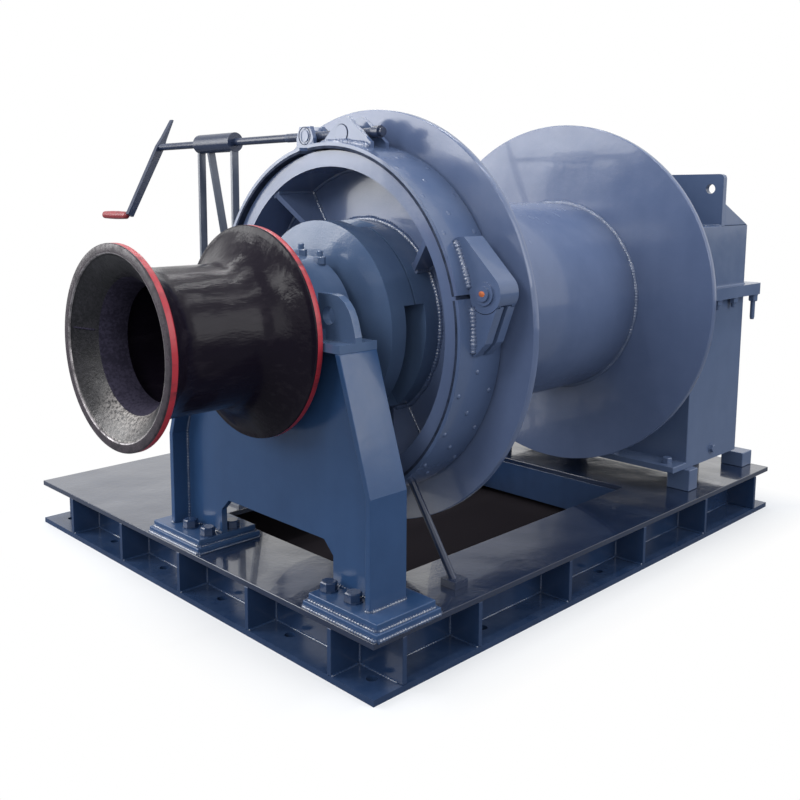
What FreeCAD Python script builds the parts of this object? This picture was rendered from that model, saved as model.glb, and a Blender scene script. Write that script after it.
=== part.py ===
"""Hydraulic anchor winch on its welded base frame, in millimetres.

The origin is the centre of the base frame's underside, +Z up. X runs along the main shaft, with
the warping head at -X and the gearbox at +X. The shaft lies on the -Y side of the base's middle.
"""
import FreeCAD, Part
import math
import os

import Sketcher

V = FreeCAD.Vector
doc = FreeCAD.newDocument("anchor_winch")

DIMENSIONS = {
    # base frame
    "base_length": 2470,
    "base_width": 2030,
    "base_height": 185,
    "base_plate": 20,
    "web_plate": 16,
    "web_inset": 116,
    "opening_start": -925,
    "opening_end": 496,
    "opening_near": -730,
    "opening_far": 130,
    "flange_strip": 240,
    "foundation_inset": 80,
    "foundation_pitch_across": 370,
    "foundation_pitch_along": 670,
    "foundation_hole_radius": 17,
    "stiffener_plate": 16,
    "end_stiffener_pitch": 396,
    "end_stiffener_first": -838,
    "side_stiffener_pitch": 480,
    "side_stiffener_first": -785,
    # shaft line
    "shaft_offset": -424,
    "shaft_height": 977,
    "shaft_radius": 80,
    # pedestal
    "pedestal_centre": -1101,
    "pedestal_depth": 148,
    "pedestal_half_width": 515,
    "pedestal_plate": 22,
    "pedestal_bend_height": 558,
    "shoulder_half_width": 390,
    "shoulder_plate": 25,
    "arch_half_width": 290,
    "arch_height": 130,
    "arch_corner": 42,
    "foot_pad": 20,
    "foot_plate": 23,
    "foot_inner": 275,
    "foot_outer": 591,
    "foot_length": 266,
    "foot_step": 12,
    # outer bearing
    "bearing_radius": 228,
    "bearing_length": 185,
    "bearing_centre": -1058,
    "running_fit": 0.1,
    "cover_radius": 192,
    "cover_plate": 14,
    "cap_flange": 30,
    "cap_flange_half_width": 262,
    "eye_plate": 26,
    "eye_height": 134,
    "eye_width": 160,
    "eye_hole_place": 276,
    "eye_hole_height": 70,
    "eye_hole_radius": 27,
    # warping head
    "head_start": -1664,
    "head_end": -1181,
    "head_outer_rim": 292,
    "head_inner_rim": 330,
    "head_waist": 218,
    "head_rim_width": 26,
    "head_wall": 24,
    "head_mouth": 262,
    "head_bore": 172,
    "head_web": 40,
    "head_web_place": -1400,
    "end_plate": 22,
    # clutch
    "clutch_start": -912,
    "clutch_disc": 62,
    "clutch_radius": 338,
    "clutch_jaw": 46,
    "hub_jaw": 36,
    "clutch_gap": 8,
    "jaw_inner_radius": 190,
    # drum
    "drum_clear_width": 1069,
    "drum_near_face": -665,
    "drum_flange_radius": 700,
    "drum_flange_plate": 28,
    "barrel_radius": 385,
    "barrel_wall": 30,
    "hub_boss_radius": 150,
    "far_hub_length": 150,
    # brake wheel and band
    "wheel_width": 174,
    "wheel_inner_radius": 511,
    "wheel_radius": 563,
    "wheel_rib_plate": 20,
    "wheel_rib_inset": 6,
    "band_clearance": 5,
    "lining_thickness": 9,
    "band_thickness": 11,
    "band_width": 186,
    "band_flange_gap": 9,
    "lug_start": -832,
    "lug_width": 84,
    "lug_plate": 16,
    "hinge_nose_radius": 58,
    "hinge_cover": 10,
    "hinge_play": 1,
    "hinge_pin_radius": 22,
    "hinge_washer": 6,
    "hinge_washer_radius": 34,
    "hinge_pin_distance": 641,
    "trunnion_radius": 28,
    "trunnion_proud": 3,
    "trunnion_place": -450,
    "screw_lug_half": 122,
    "screw_lug_crown": 54,
    "end_lug_place": -256,
    "end_lug_half": 44,
    "end_lug_crown": 32,
    "end_lug_inset": 8,
    "strut_radius": 12,
    "strut_foot_place": -905,
    "strut_foot_size": 60,
    # brake spindle
    "spindle_place": -790,
    "spindle_clearance": 29,
    "spindle_radius": 14,
    "spindle_nut_radius": 20,
    "spindle_start": -600,
    "spindle_end": 711,
    "sleeve_radius": 36,
    "sleeve_start": 188,
    "sleeve_end": 420,
    "leg_width": 30,
    "leg_plate": 12,
    "leg_foot": 70,
    "leg_near_place": 196,
    "leg_far_place": 414,
    "brace_place": 352,
    "brace_reach": 250,
    "crank_length": 318,
    "crank_stub": 130,
    "crank_width": 32,
    "crank_plate": 22,
    "grip_radius": 17,
    "grip_length": 205,
    # gearbox
    "gearbox_gap": 69,
    "gearbox_length": 440,
    "gearbox_half_width": 501,
    "gearbox_bottom": 275,
    "gearbox_split": 988,
    "gearbox_top": 1265,
    "split_flange": 24,
    "split_reach": 35,
    "ear_reach": 104,
    "ear_corner": 24,
    "foot_ear": 107,
    "foot_ear_plate": 25,
    "foot_block": 70,
    "foot_block_width": 100,
    "gear_foot_inset": 160,
    "chock_height": 64,
    "chock_place": 50,
    "lifting_plate": 28,
    "lifting_place": 850,
    "lifting_height": 212,
    "lifting_corner": 16,
    "lifting_hole_radius": 20,
    "gusset_plate": 16,
    "gusset_height": 92,
    "case_cover_radius": 175,
    "case_cover_length": 26,
    "motor_flange_radius": 190,
    "motor_radius": 145,
    "motor_length": 150,
    "motor_cap_radius": 105,
    "motor_port_size": 120,
}


class Size:
    """A length known as a number and as a formula of the sheet's cells, so it can drive a sketch."""

    def __init__(self, number, formula):
        self.number = number
        self.formula = formula

    def joined(self, sign, other, number):
        return Size(number, "(%s %s %s)" % (self.formula, sign, size(other).formula))

    def __add__(self, other):
        return self.joined("+", other, self.number + size(other).number)

    def __sub__(self, other):
        return self.joined("-", other, self.number - size(other).number)

    def __mul__(self, other):
        return self.joined("*", other, self.number * size(other).number)

    def __truediv__(self, other):
        return self.joined("/", other, self.number / size(other).number)

    def __radd__(self, other):
        return size(other) + self

    def __rsub__(self, other):
        return size(other) - self

    def __rmul__(self, other):
        return size(other) * self

    def __neg__(self):
        return size(0) - self


def size(value):
    """A plain number as a Size; a Size as it is."""
    return value if isinstance(value, Size) else Size(value, "%.9g" % value)


def make_sheet():
    """Fill the spreadsheet and return its cells as Sizes, by name."""
    sheet = doc.addObject("Spreadsheet::Sheet", "dims")
    cells = {}
    for row, (name, number) in enumerate(DIMENSIONS.items(), start=1):
        sheet.set("A%d" % row, name)
        sheet.set("B%d" % row, str(number))
        sheet.setAlias("B%d" % row, name)
        cells[name] = Size(number, "dims.%s" % name)
    doc.recompute()
    return cells


class Names:
    """The sheet's cells as attributes."""


d = Names()
d.__dict__.update(make_sheet())
sub_parts = {}


def bind(obj, path, value):
    """Tie one property of an object to a Size."""
    obj.setExpression(path, size(value).formula)


def move(obj, x=0, y=0, z=0):
    """Tie an object's place to three Sizes."""
    for axis, value in zip("xyz", (x, y, z)):
        bind(obj, "Placement.Base." + axis, value)
    return obj


def box(name, lengths, corner):
    obj = doc.addObject("Part::Box", name)
    for side, value in zip(("Length", "Width", "Height"), lengths):
        bind(obj, side, value)
    return move(obj, *corner)


TURNS = {
    "x": FreeCAD.Rotation(V(0, 1, 0), 90),
    "y": FreeCAD.Rotation(V(1, 0, 0), -90),
    "z": FreeCAD.Rotation(),
}


def cylinder(name, radius, length, start, axis):
    """A round bar that starts at a point and runs along +X, +Y or +Z."""
    obj = doc.addObject("Part::Cylinder", name)
    bind(obj, "Radius", radius)
    bind(obj, "Height", length)
    obj.Placement = FreeCAD.Placement(V(), TURNS[axis])
    return move(obj, *start)


def fuse(name, pieces):
    obj = doc.addObject("Part::MultiFuse", name)
    obj.Shapes = pieces
    obj.Refine = True
    return obj


def together(name, pieces):
    """Separate like solids in one node."""
    obj = doc.addObject("Part::Compound", name)
    obj.Links = pieces
    return obj


def cut(name, base, tools):
    obj = doc.addObject("Part::Cut", name)
    obj.Base = base
    obj.Tool = tools[0] if len(tools) == 1 else fuse(name + "_tools", tools)
    obj.Refine = True
    return obj


def fix_point(sketch, line, end, x, y):
    """Hold one end of a line at a place that follows the sheet."""
    for kind, value in (("DistanceX", x), ("DistanceY", y)):
        sketch.addConstraint(Sketcher.Constraint(kind, line, end, size(value).number))
        bind(sketch, "Constraints[%d]" % (sketch.ConstraintCount - 1), value)


def add_loop(sketch, points):
    """A closed outline of straight sides, with every corner tied to the sheet."""
    first = sketch.GeometryCount
    places = [V(size(x).number, size(y).number, 0) for x, y in points]
    for index, place in enumerate(places):
        sketch.addGeometry(Part.LineSegment(place, places[(index + 1) % len(places)]), False)
    for index, (x, y) in enumerate(points):
        after = first + (index + 1) % len(points)
        sketch.addConstraint(Sketcher.Constraint("Coincident", first + index, 2, after, 1))
        fix_point(sketch, first + index, 1, x, y)


def add_circle(sketch, x, y, radius):
    line = sketch.addGeometry(Part.Circle(V(size(x).number, size(y).number, 0), V(0, 0, 1),
                                          size(radius).number), False)
    fix_point(sketch, line, 3, x, y)
    sketch.addConstraint(Sketcher.Constraint("Radius", line, size(radius).number))
    bind(sketch, "Constraints[%d]" % (sketch.ConstraintCount - 1), radius)


def body_sketch(name, plane):
    """A new body with one sketch on one of its own origin planes."""
    body = doc.addObject("PartDesign::Body", name)
    support = [item for item in body.Origin.OriginFeatures if item.Role == plane][0]
    sketch = body.newObject("Sketcher::SketchObject", name + "_sketch")
    sketch.AttachmentSupport = [(support, "")]
    sketch.MapMode = "FlatFace"
    return body, sketch


def plate(name, plane, outline, thickness, holes=(), at=(0, 0, 0)):
    """A flat plate: an outline on an origin plane, padded along the plane's normal."""
    body, sketch = body_sketch(name, plane)
    add_loop(sketch, outline)
    for hole in holes:
        add_circle(sketch, *hole)
    pad = body.newObject("PartDesign::Pad", name + "_pad")
    pad.Profile = sketch
    bind(pad, "Length", thickness)
    return move(body, *at)


def turned(name, outline):
    """A body of revolution about the shaft line; the outline gives places along X and radii."""
    body, sketch = body_sketch(name, "XY_Plane")
    add_loop(sketch, outline)
    spin = body.newObject("PartDesign::Revolution", name + "_turn")
    spin.Profile = sketch
    spin.ReferenceAxis = (sketch, ["H_Axis"])
    spin.Angle = 360
    return move(body, 0, d.shaft_offset, d.shaft_height)


def tube(name, start, length, inner, outer):
    """A ring about the shaft line."""
    end = start + length
    return turned(name, [(start, inner), (end, inner), (end, outer), (start, outer)])


def arc_bar(name, radius, length, start, first, sweep, beside=(0, 0)):
    """A wedge of a round bar along the shaft line or beside it, from an angle off +Y towards +Z."""
    obj = doc.addObject("Part::Cylinder", name)
    bind(obj, "Radius", radius)
    bind(obj, "Height", length)
    obj.Angle = sweep
    along_x = FreeCAD.Rotation(V(0, 1, 0), V(0, 0, 1), V(1, 0, 0), "ZXY")
    obj.Placement = FreeCAD.Placement(V(), FreeCAD.Rotation(V(1, 0, 0), first).multiply(along_x))
    return move(obj, start, d.shaft_offset + beside[0], d.shaft_height + beside[1])


def keep(name, obj):
    """Name a finished sub-part; the label is the name of its file."""
    obj.Label = name
    sub_parts[name] = obj
    return obj


# Places that follow from several sizes

near_flange_start = d.drum_near_face - d.drum_flange_plate
far_face = d.drum_near_face + d.drum_clear_width
wheel_start = near_flange_start - d.wheel_width
drum_hub_start = d.clutch_start + d.clutch_disc + d.clutch_jaw + d.clutch_gap + d.hub_jaw
gearbox_start = far_face + d.drum_flange_plate + d.far_hub_length + d.gearbox_gap
lining_inner = d.wheel_radius + d.band_clearance
band_inner = lining_inner + d.lining_thickness
band_outer = band_inner + d.band_thickness
band_start = near_flange_start - d.band_flange_gap - d.band_width
spindle_rise = band_outer + d.spindle_clearance
spindle_height = d.shaft_height + spindle_rise

# Base frame

half_length = d.base_length / 2
half_width = d.base_width / 2
web_top = d.base_height - d.base_plate
web_height = web_top - d.base_plate


def rectangle(x0, y0, x1, y1):
    return [(x0, y0), (x1, y0), (x1, y1), (x0, y1)]


def make_base():
    top, sketch = body_sketch("top_plate", "XY_Plane")
    add_loop(sketch, rectangle(-half_length, -half_width, half_length, half_width))
    add_loop(sketch, rectangle(d.opening_start, d.opening_near, d.opening_end, d.opening_far))
    pad = top.newObject("PartDesign::Pad", "top_plate_pad")
    pad.Profile = sketch
    bind(pad, "Length", d.base_plate)
    keep("base_top_plate", move(top, 0, 0, web_top))

    bottom, sketch = body_sketch("bottom_flange", "XY_Plane")
    add_loop(sketch, rectangle(-half_length, -half_width, half_length, half_width))
    strip = d.flange_strip
    add_loop(sketch, rectangle(strip - half_length, strip - half_width,
                               half_length - strip, half_width - strip))
    end_row = half_length - d.foundation_inset
    side_row = half_width - d.foundation_inset
    for end in (-1, 1):
        for step in (-2.5, -1.5, -0.5, 0.5, 1.5, 2.5):
            add_circle(sketch, end * end_row, step * d.foundation_pitch_across, d.foundation_hole_radius)
        for step in (-1, 0, 1):
            add_circle(sketch, step * d.foundation_pitch_along, end * side_row, d.foundation_hole_radius)
    pad = bottom.newObject("PartDesign::Pad", "bottom_flange_pad")
    pad.Profile = sketch
    bind(pad, "Length", d.base_plate)
    keep("base_bottom_flange", bottom)

    web_end = half_length - d.web_inset
    web_side = half_width - d.web_inset
    inner_length = 2 * (web_end - d.web_plate)
    ends = [box("end_web_%d" % index, (d.web_plate, d.base_width, web_height), (x, -half_width, d.base_plate))
            for index, x in enumerate((-web_end, web_end - d.web_plate))]
    keep("base_end_webs", together("end_webs", ends))
    sides = [box("side_web_%d" % index, (inner_length, d.web_plate, web_height),
                 (d.web_plate - web_end, y, d.base_plate))
             for index, y in enumerate((-web_side, web_side - d.web_plate))]
    keep("base_side_webs", together("side_webs", sides))

    across = web_side - d.web_plate
    head_web = box("opening_head_web", (d.web_plate, 2 * across, web_height),
                   (d.opening_start - d.web_plate, -across, d.base_plate))
    gear_web = box("opening_gear_web", (d.web_plate, 2 * across, web_height),
                   (d.opening_end, -across, d.base_plate))
    keep("base_cross_webs", together("cross_webs", [head_web, gear_web]))

    depth = d.web_inset
    plates = []
    for name, x in (("head", -half_length), ("gear", half_length - depth)):
        for index in range(5):
            y = d.end_stiffener_first + index * d.end_stiffener_pitch
            plates.append(box("%s_stiffener_%d" % (name, index), (depth, d.stiffener_plate, web_height),
                              (x, y, d.base_plate)))
    keep("base_end_stiffeners", together("end_stiffeners", plates))
    plates = []
    for name, y in (("near", -half_width), ("far", half_width - depth)):
        for index in range(4):
            x = d.side_stiffener_first + index * d.side_stiffener_pitch
            plates.append(box("%s_stiffener_%d" % (name, index), (d.stiffener_plate, depth, web_height),
                              (x, y, d.base_plate)))
    keep("base_side_stiffeners", together("side_stiffeners", plates))


make_base()

# Outer pedestal

feet_top = d.base_height + d.foot_pad + d.foot_plate
pedestal_front = d.pedestal_centre - d.pedestal_depth / 2
shoulder_bottom = d.shaft_height - d.shoulder_plate


def make_pedestal():
    inner = d.pedestal_half_width - d.pedestal_plate
    lean = d.shoulder_half_width - d.pedestal_plate
    arch_top = feet_top + d.arch_height
    corner = d.arch_corner
    arch = d.arch_half_width
    outline = [(-inner, feet_top), (-arch, feet_top), (-arch, arch_top - corner),
               (corner - arch, arch_top), (arch - corner, arch_top), (arch, arch_top - corner),
               (arch, feet_top), (inner, feet_top), (inner, d.pedestal_bend_height),
               (lean, shoulder_bottom), (-lean, shoulder_bottom), (-inner, d.pedestal_bend_height)]
    web = plate("pedestal_web_plate", "YZ_Plane", outline, d.pedestal_plate,
                at=(d.pedestal_centre - d.pedestal_plate / 2, d.shaft_offset, 0))
    seat = cylinder("pedestal_seat", d.bearing_radius, d.pedestal_plate,
                    (d.pedestal_centre - d.pedestal_plate / 2, d.shaft_offset, d.shaft_height), "x")
    keep("pedestal_web", cut("pedestal_web_cut", web, [seat]))

    sides = []
    for name, side in (("near", -1), ("far", 1)):
        outer_edge = side * d.pedestal_half_width
        inner_edge = side * inner
        top_outer = side * d.shoulder_half_width
        top_inner = side * lean
        outline = [(outer_edge, feet_top), (outer_edge, d.pedestal_bend_height),
                   (top_outer, shoulder_bottom), (top_inner, shoulder_bottom),
                   (inner_edge, d.pedestal_bend_height), (inner_edge, feet_top)]
        sides.append(plate("pedestal_side_" + name, "YZ_Plane", outline, d.pedestal_depth,
                           at=(pedestal_front, d.shaft_offset, 0)))
    keep("pedestal_side_plates", together("pedestal_sides", sides))

    level = d.base_height
    step = size(0)
    for node, thick in (("pedestal_pads", d.foot_pad), ("pedestal_foot_plates", d.foot_plate)):
        slabs = []
        for side in (-1, 1):
            edge = d.foot_outer if side < 0 else -d.foot_inner
            slabs.append(box("%s_%d" % (node, side + 1),
                             (d.foot_length - 2 * step, d.foot_outer - d.foot_inner - 2 * step, thick),
                             (-half_length + d.foot_step + step, d.shaft_offset - edge + step, level)))
        keep(node, together(node + "_pair", slabs))
        level = level + thick
        step = step + d.foot_step


make_pedestal()

# Outer bearing

bearing_start = d.bearing_centre - d.bearing_length / 2


def make_bearing():
    half = d.shoulder_half_width
    seat_radius = d.shaft_radius + d.running_fit
    end = bearing_start + d.bearing_length
    lead = bearing_start - pedestal_front
    centre = (pedestal_front, d.shaft_offset, d.shaft_height)
    for node, level, thick in (("bearing_housing", shoulder_bottom, d.shoulder_plate),
                               ("bearing_cap", d.shaft_height, d.cap_flange)):
        barrel = cylinder(node + "_barrel", d.bearing_radius, d.bearing_length,
                          (bearing_start, d.shaft_offset, d.shaft_height), "x")
        wing = half if node == "bearing_housing" else d.cap_flange_half_width
        shelf = box(node + "_shelf", (d.pedestal_depth, 2 * wing, thick),
                    (pedestal_front, d.shaft_offset - wing, level))
        bore = cylinder(node + "_bore", seat_radius, end - pedestal_front, centre, "x")
        recess = cylinder(node + "_recess", d.bearing_radius, lead, centre, "x")
        other_half = d.shaft_height if node == "bearing_housing" else d.shaft_height - d.bearing_radius
        away = box(node + "_other_half", (end - pedestal_front, 2 * half, d.bearing_radius),
                   (pedestal_front, d.shaft_offset - half, other_half))
        tools = [bore, recess, away]
        if node == "bearing_cap":
            tools += [box("eye_slot_%d" % (side + 1), (d.eye_plate, d.eye_width, d.eye_height),
                          (d.pedestal_centre - d.eye_plate / 2,
                           d.shaft_offset + side * (half - d.eye_width / 2) - d.eye_width / 2,
                           d.shaft_height)) for side in (-1, 1)]
        keep(node, cut(node + "_cut", fuse(node + "_blank", [barrel, shelf]), tools))

    covers = [tube("cover_" + name, start, length, seat_radius, radius)
              for name, start, length, radius in (
                  ("front", bearing_start - d.cover_plate, d.cover_plate, d.cover_radius),
                  ("back", end, d.cover_plate, d.cover_radius),
                  ("case", gearbox_start - d.case_cover_length, d.case_cover_length, d.case_cover_radius))]
    keep("shaft_covers", together("cover_set", covers))

    eyes = []
    for side in (-1, 1):
        outer = side * d.shoulder_half_width
        inner = side * (d.shoulder_half_width - d.eye_width)
        profile = ((0, 0), (0, 0.12), (0.04, 0.30), (0.10, 0.52), (0.18, 0.70), (0.30, 0.86), (0.46, 0.97),
                   (0.62, 1), (1, 1))
        outline = [(outer - side * across * d.eye_width, d.shaft_height + up * d.eye_height)
                   for across, up in profile] + [(inner, d.shaft_height)]
        eyes.append(plate("eye_%d" % (side + 1), "YZ_Plane", outline, d.eye_plate,
                          [(side * d.eye_hole_place, d.shaft_height + d.eye_hole_height, d.eye_hole_radius)],
                          (d.pedestal_centre - d.eye_plate / 2, d.shaft_offset, 0)))
    keep("lifting_eyes", together("eye_pair", eyes))


make_bearing()

# Main shaft, warping head and clutch hub, which turn together


def make_shaft():
    shaft_start = d.head_web_place - d.end_plate
    keep("main_shaft", cylinder("shaft_bar", d.shaft_radius, gearbox_start - d.head_web_place,
                                (d.head_web_place, d.shaft_offset, d.shaft_height), "x"))
    rim = d.head_rim_width
    wall = d.head_wall
    waist = d.head_waist
    start = d.head_start
    end = d.head_end
    length = end - start
    flare = [(0.00, 1.00), (0.02, 0.80), (0.05, 0.58), (0.09, 0.36), (0.14, 0.18), (0.20, 0.06), (0.27, 0.00)]
    outside = [(start + rim + along * length, waist + up * (d.head_outer_rim - waist)) for along, up in flare]
    outside += [(end - rim - along * length, waist + up * (d.head_inner_rim - wall / 2 - waist))
                for along, up in reversed(flare)]
    mouth = [(start + rim / 2 + along * length, d.head_bore + up * (d.head_mouth - d.head_bore))
             for along, up in reversed(flare)]
    hub_end = d.head_web_place + d.head_web
    head = turned("head_casting", [(start, d.head_outer_rim), (start + rim / 2, d.head_outer_rim)]
                  + outside + [(end - rim, d.head_inner_rim), (end, d.head_inner_rim), (end, waist),
                               (hub_end, d.head_bore), (hub_end, d.shaft_radius),
                               (d.head_web_place, d.shaft_radius), (d.head_web_place, d.head_bore)]
                  + mouth + [(start, d.head_mouth)])
    keep("warping_head", head)
    keep("shaft_end_plate", tube("end_plate_disc", shaft_start, d.end_plate, d.spindle_radius,
                                 d.shaft_radius + d.head_wall))

    disc = tube("clutch_disc", d.clutch_start, d.clutch_disc, d.shaft_radius + d.running_fit, d.clutch_radius)
    jaw_set = jaws("clutch", d.clutch_start + d.clutch_disc, d.clutch_jaw)
    keep("clutch_hub", fuse("clutch_jaws", [disc] + jaw_set))


JAW_COUNT = 3
JAW_SWEEP = 56
JAW_FIRST = 110


def jaws(name, start, length):
    """Three jaws of a dog clutch, narrower than the gaps between them."""
    pieces = []
    for index in range(JAW_COUNT):
        jaw = arc_bar("%s_jaw_%d" % (name, index), d.clutch_radius, length, start,
                      JAW_FIRST + index * 360 / JAW_COUNT, JAW_SWEEP)
        core = cylinder("%s_jaw_core_%d" % (name, index), d.jaw_inner_radius, length,
                        (start, d.shaft_offset, d.shaft_height), "x")
        pieces.append(cut("%s_jaw_cut_%d" % (name, index), jaw, [core]))
    return pieces


make_shaft()

# Drum with its brake wheel

RIB_FIRST = 56


def make_drum():
    bore = d.shaft_radius + d.running_fit
    keep("drum_barrel", tube("barrel_ring", d.drum_near_face, d.drum_clear_width,
                             d.barrel_radius - d.barrel_wall, d.barrel_radius))
    rings = [tube(name, start, d.drum_flange_plate, bore, d.drum_flange_radius)
             for name, start in (("near_flange_ring", near_flange_start), ("far_flange_ring", far_face))]
    keep("drum_flanges", together("flange_pair", rings))
    keep("brake_wheel", tube("wheel_rim", wheel_start, d.wheel_width, d.wheel_inner_radius, d.wheel_radius))
    hub = tube("hub_ring", drum_hub_start, near_flange_start - drum_hub_start, bore, d.clutch_radius)
    keep("drum_hub_near", fuse("drum_hub", [hub] + jaws("hub", drum_hub_start - d.hub_jaw, d.hub_jaw)))
    keep("drum_hub_far", tube("far_hub_ring", far_face + d.drum_flange_plate, d.far_hub_length, bore,
                              d.hub_boss_radius))
    ribs = []
    half = d.wheel_rib_plate / 2
    rib_front = wheel_start + d.wheel_rib_inset
    outline = [(rib_front, d.wheel_inner_radius), (rib_front, d.wheel_inner_radius + half),
               (near_flange_start, d.wheel_inner_radius + half), (near_flange_start, d.clutch_radius - half),
               (drum_hub_start, d.clutch_radius - half), (drum_hub_start, d.clutch_radius)]
    for index in range(4):
        angle = RIB_FIRST + 90 * index
        rib = plate("wheel_rib_%d" % index, "XY_Plane", outline, d.wheel_rib_plate)
        rib.Placement = FreeCAD.Placement(V(), FreeCAD.Rotation(V(1, 0, 0), angle))
        move(rib, 0, d.shaft_offset + math.sin(math.radians(angle)) * half,
             d.shaft_height - math.cos(math.radians(angle)) * half)
        hub_clear = cylinder("rib_hub_clear_%d" % index, d.clutch_radius, d.wheel_width,
                             (wheel_start, d.shaft_offset, d.shaft_height), "x")
        rim_clear = tube("rib_rim_clear_%d" % index, wheel_start, d.wheel_width, d.wheel_inner_radius,
                         d.wheel_radius)
        ribs.append(cut("rib_%d" % index, rib, [hub_clear, rim_clear]))
    keep("brake_wheel_ribs", together("wheel_ribs", ribs))


make_drum()

# Band brake

HINGE_ANGLE = 167.4
NOSE_FIRST = 134
NOSE_SWEEP = 80


def arc_band(name, inner, outer, first, last):
    """A piece of a ring as wide as the band, between two angles from +Y towards +Z."""
    ring = arc_bar(name + "_outer", outer, d.band_width, band_start, first, last - first)
    core = cylinder(name + "_core", inner, d.band_width, (band_start, d.shaft_offset, d.shaft_height), "x")
    return cut(name + "_ring", ring, [core])


def around(angle, radius):
    """A point about the shaft line, as the two Sizes of the YZ plane."""
    return (math.cos(math.radians(angle)) * radius, math.sin(math.radians(angle)) * radius)


def lug_pair(name, outline, hole, inset):
    """Two like plates on the band, as far apart as the lug is wide, less an inset at each side."""
    plates = []
    for index, start in enumerate((d.lug_start + inset,
                                   d.lug_start + d.lug_width - inset - d.lug_plate)):
        blank = plate("%s_plate_%d" % (name, index), "YZ_Plane", outline, d.lug_plate, [hole],
                      (start, d.shaft_offset, d.shaft_height))
        rim = cylinder("%s_rim_%d" % (name, index), band_outer, d.lug_plate,
                       (start, d.shaft_offset, d.shaft_height), "x")
        plates.append(cut("%s_lug_%d" % (name, index), blank, [rim]))
    return plates


def make_hinge():
    """Upper plates with a cover bent round their noses, and stepped lower plates that meet between them."""
    pin = around(HINGE_ANGLE, d.hinge_pin_distance)
    nose = d.hinge_nose_radius
    lug_end = d.lug_start + d.lug_width
    step = d.lug_plate + d.hinge_play

    def beside_pin(angle, radius):
        across, up = around(angle, radius)
        return (pin[0] + across, pin[1] + up)

    def about_pin(name, radius, start, length):
        return cylinder(name, radius, length, (start, d.shaft_offset + pin[0], d.shaft_height + pin[1]), "x")

    apex = around(151.3, band_outer + 36)
    crown = beside_pin(NOSE_FIRST, nose)
    upper_outline = [around(150, band_inner), around(150.4, band_outer + 14), apex, crown, pin,
                     around(HINGE_ANGLE, band_inner)]
    shoulder = beside_pin(NOSE_FIRST + NOSE_SWEEP + 6, nose + d.hinge_play)
    lower_outline = [around(HINGE_ANGLE, band_inner), pin, shoulder, around(180.5, band_outer + 44),
                     around(184.5, band_outer + 6), around(184.5, band_inner), around(176, band_inner)]

    upper = []
    for index, start in enumerate((d.lug_start, lug_end - d.lug_plate)):
        upper.append(plate("hinge_upper_%d" % index, "YZ_Plane", upper_outline, d.lug_plate,
                           at=(start, d.shaft_offset, d.shaft_height)))
        upper.append(about_pin("hinge_nose_%d" % index, nose, start, d.lug_plate))
    inner_nose = nose - d.hinge_cover
    under = beside_pin(NOSE_FIRST, inner_nose)
    upper.append(plate("hinge_cover", "YZ_Plane",
                       [around(150, band_inner), around(150.4, band_outer + 14), apex, crown, under,
                        around(153, band_outer + 36 - 2 * d.hinge_cover), around(153, band_inner)],
                       d.lug_width, at=(d.lug_start, d.shaft_offset, d.shaft_height)))
    bend = arc_bar("hinge_bend_outer", nose, d.lug_width, d.lug_start, NOSE_FIRST, NOSE_SWEEP, pin)
    upper.append(cut("hinge_bend", bend, [about_pin("hinge_bend_inner", inner_nose, d.lug_start, d.lug_width)]))

    tongue = inner_nose - 2 * d.hinge_play
    lower = [about_pin("hinge_knuckle", tongue, d.lug_start + step, d.lug_width - 2 * step)]
    thick = step + d.lug_plate
    for index, (start, recess) in enumerate(((d.lug_start, d.lug_start), (lug_end - thick, lug_end - step))):
        blank = plate("hinge_lower_%d" % index, "YZ_Plane", lower_outline, thick,
                      at=(start, d.shaft_offset, d.shaft_height))
        clear = about_pin("hinge_recess_%d" % index, nose + 2 * d.hinge_play, recess, step)
        lower.append(cut("hinge_stepped_%d" % index, blank, [clear]))

    rim = cylinder("hinge_rim", band_outer, d.band_width, (band_start, d.shaft_offset, d.shaft_height), "x")
    halves = []
    for name, pieces in (("upper", upper), ("lower", lower)):
        bore = about_pin("hinge_bore_" + name, d.hinge_pin_radius + d.running_fit, d.lug_start, d.lug_width)
        halves.append(cut("hinge_%s_cut" % name, fuse("hinge_%s_blank" % name, pieces), [rim, bore]))
    keep("band_hinge_lugs", together("hinge_lugs", halves))

    overhang = 2 * d.hinge_washer
    pieces = [about_pin("hinge_pin_bar", d.hinge_pin_radius, d.lug_start - overhang, d.lug_width + 2 * overhang)]
    for index, start in enumerate((d.lug_start - d.hinge_washer, lug_end)):
        pieces.append(about_pin("hinge_washer_%d" % index, d.hinge_washer_radius, start, d.hinge_washer))
    keep("band_hinge_pin", fuse("pin_and_washers", pieces))


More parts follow.
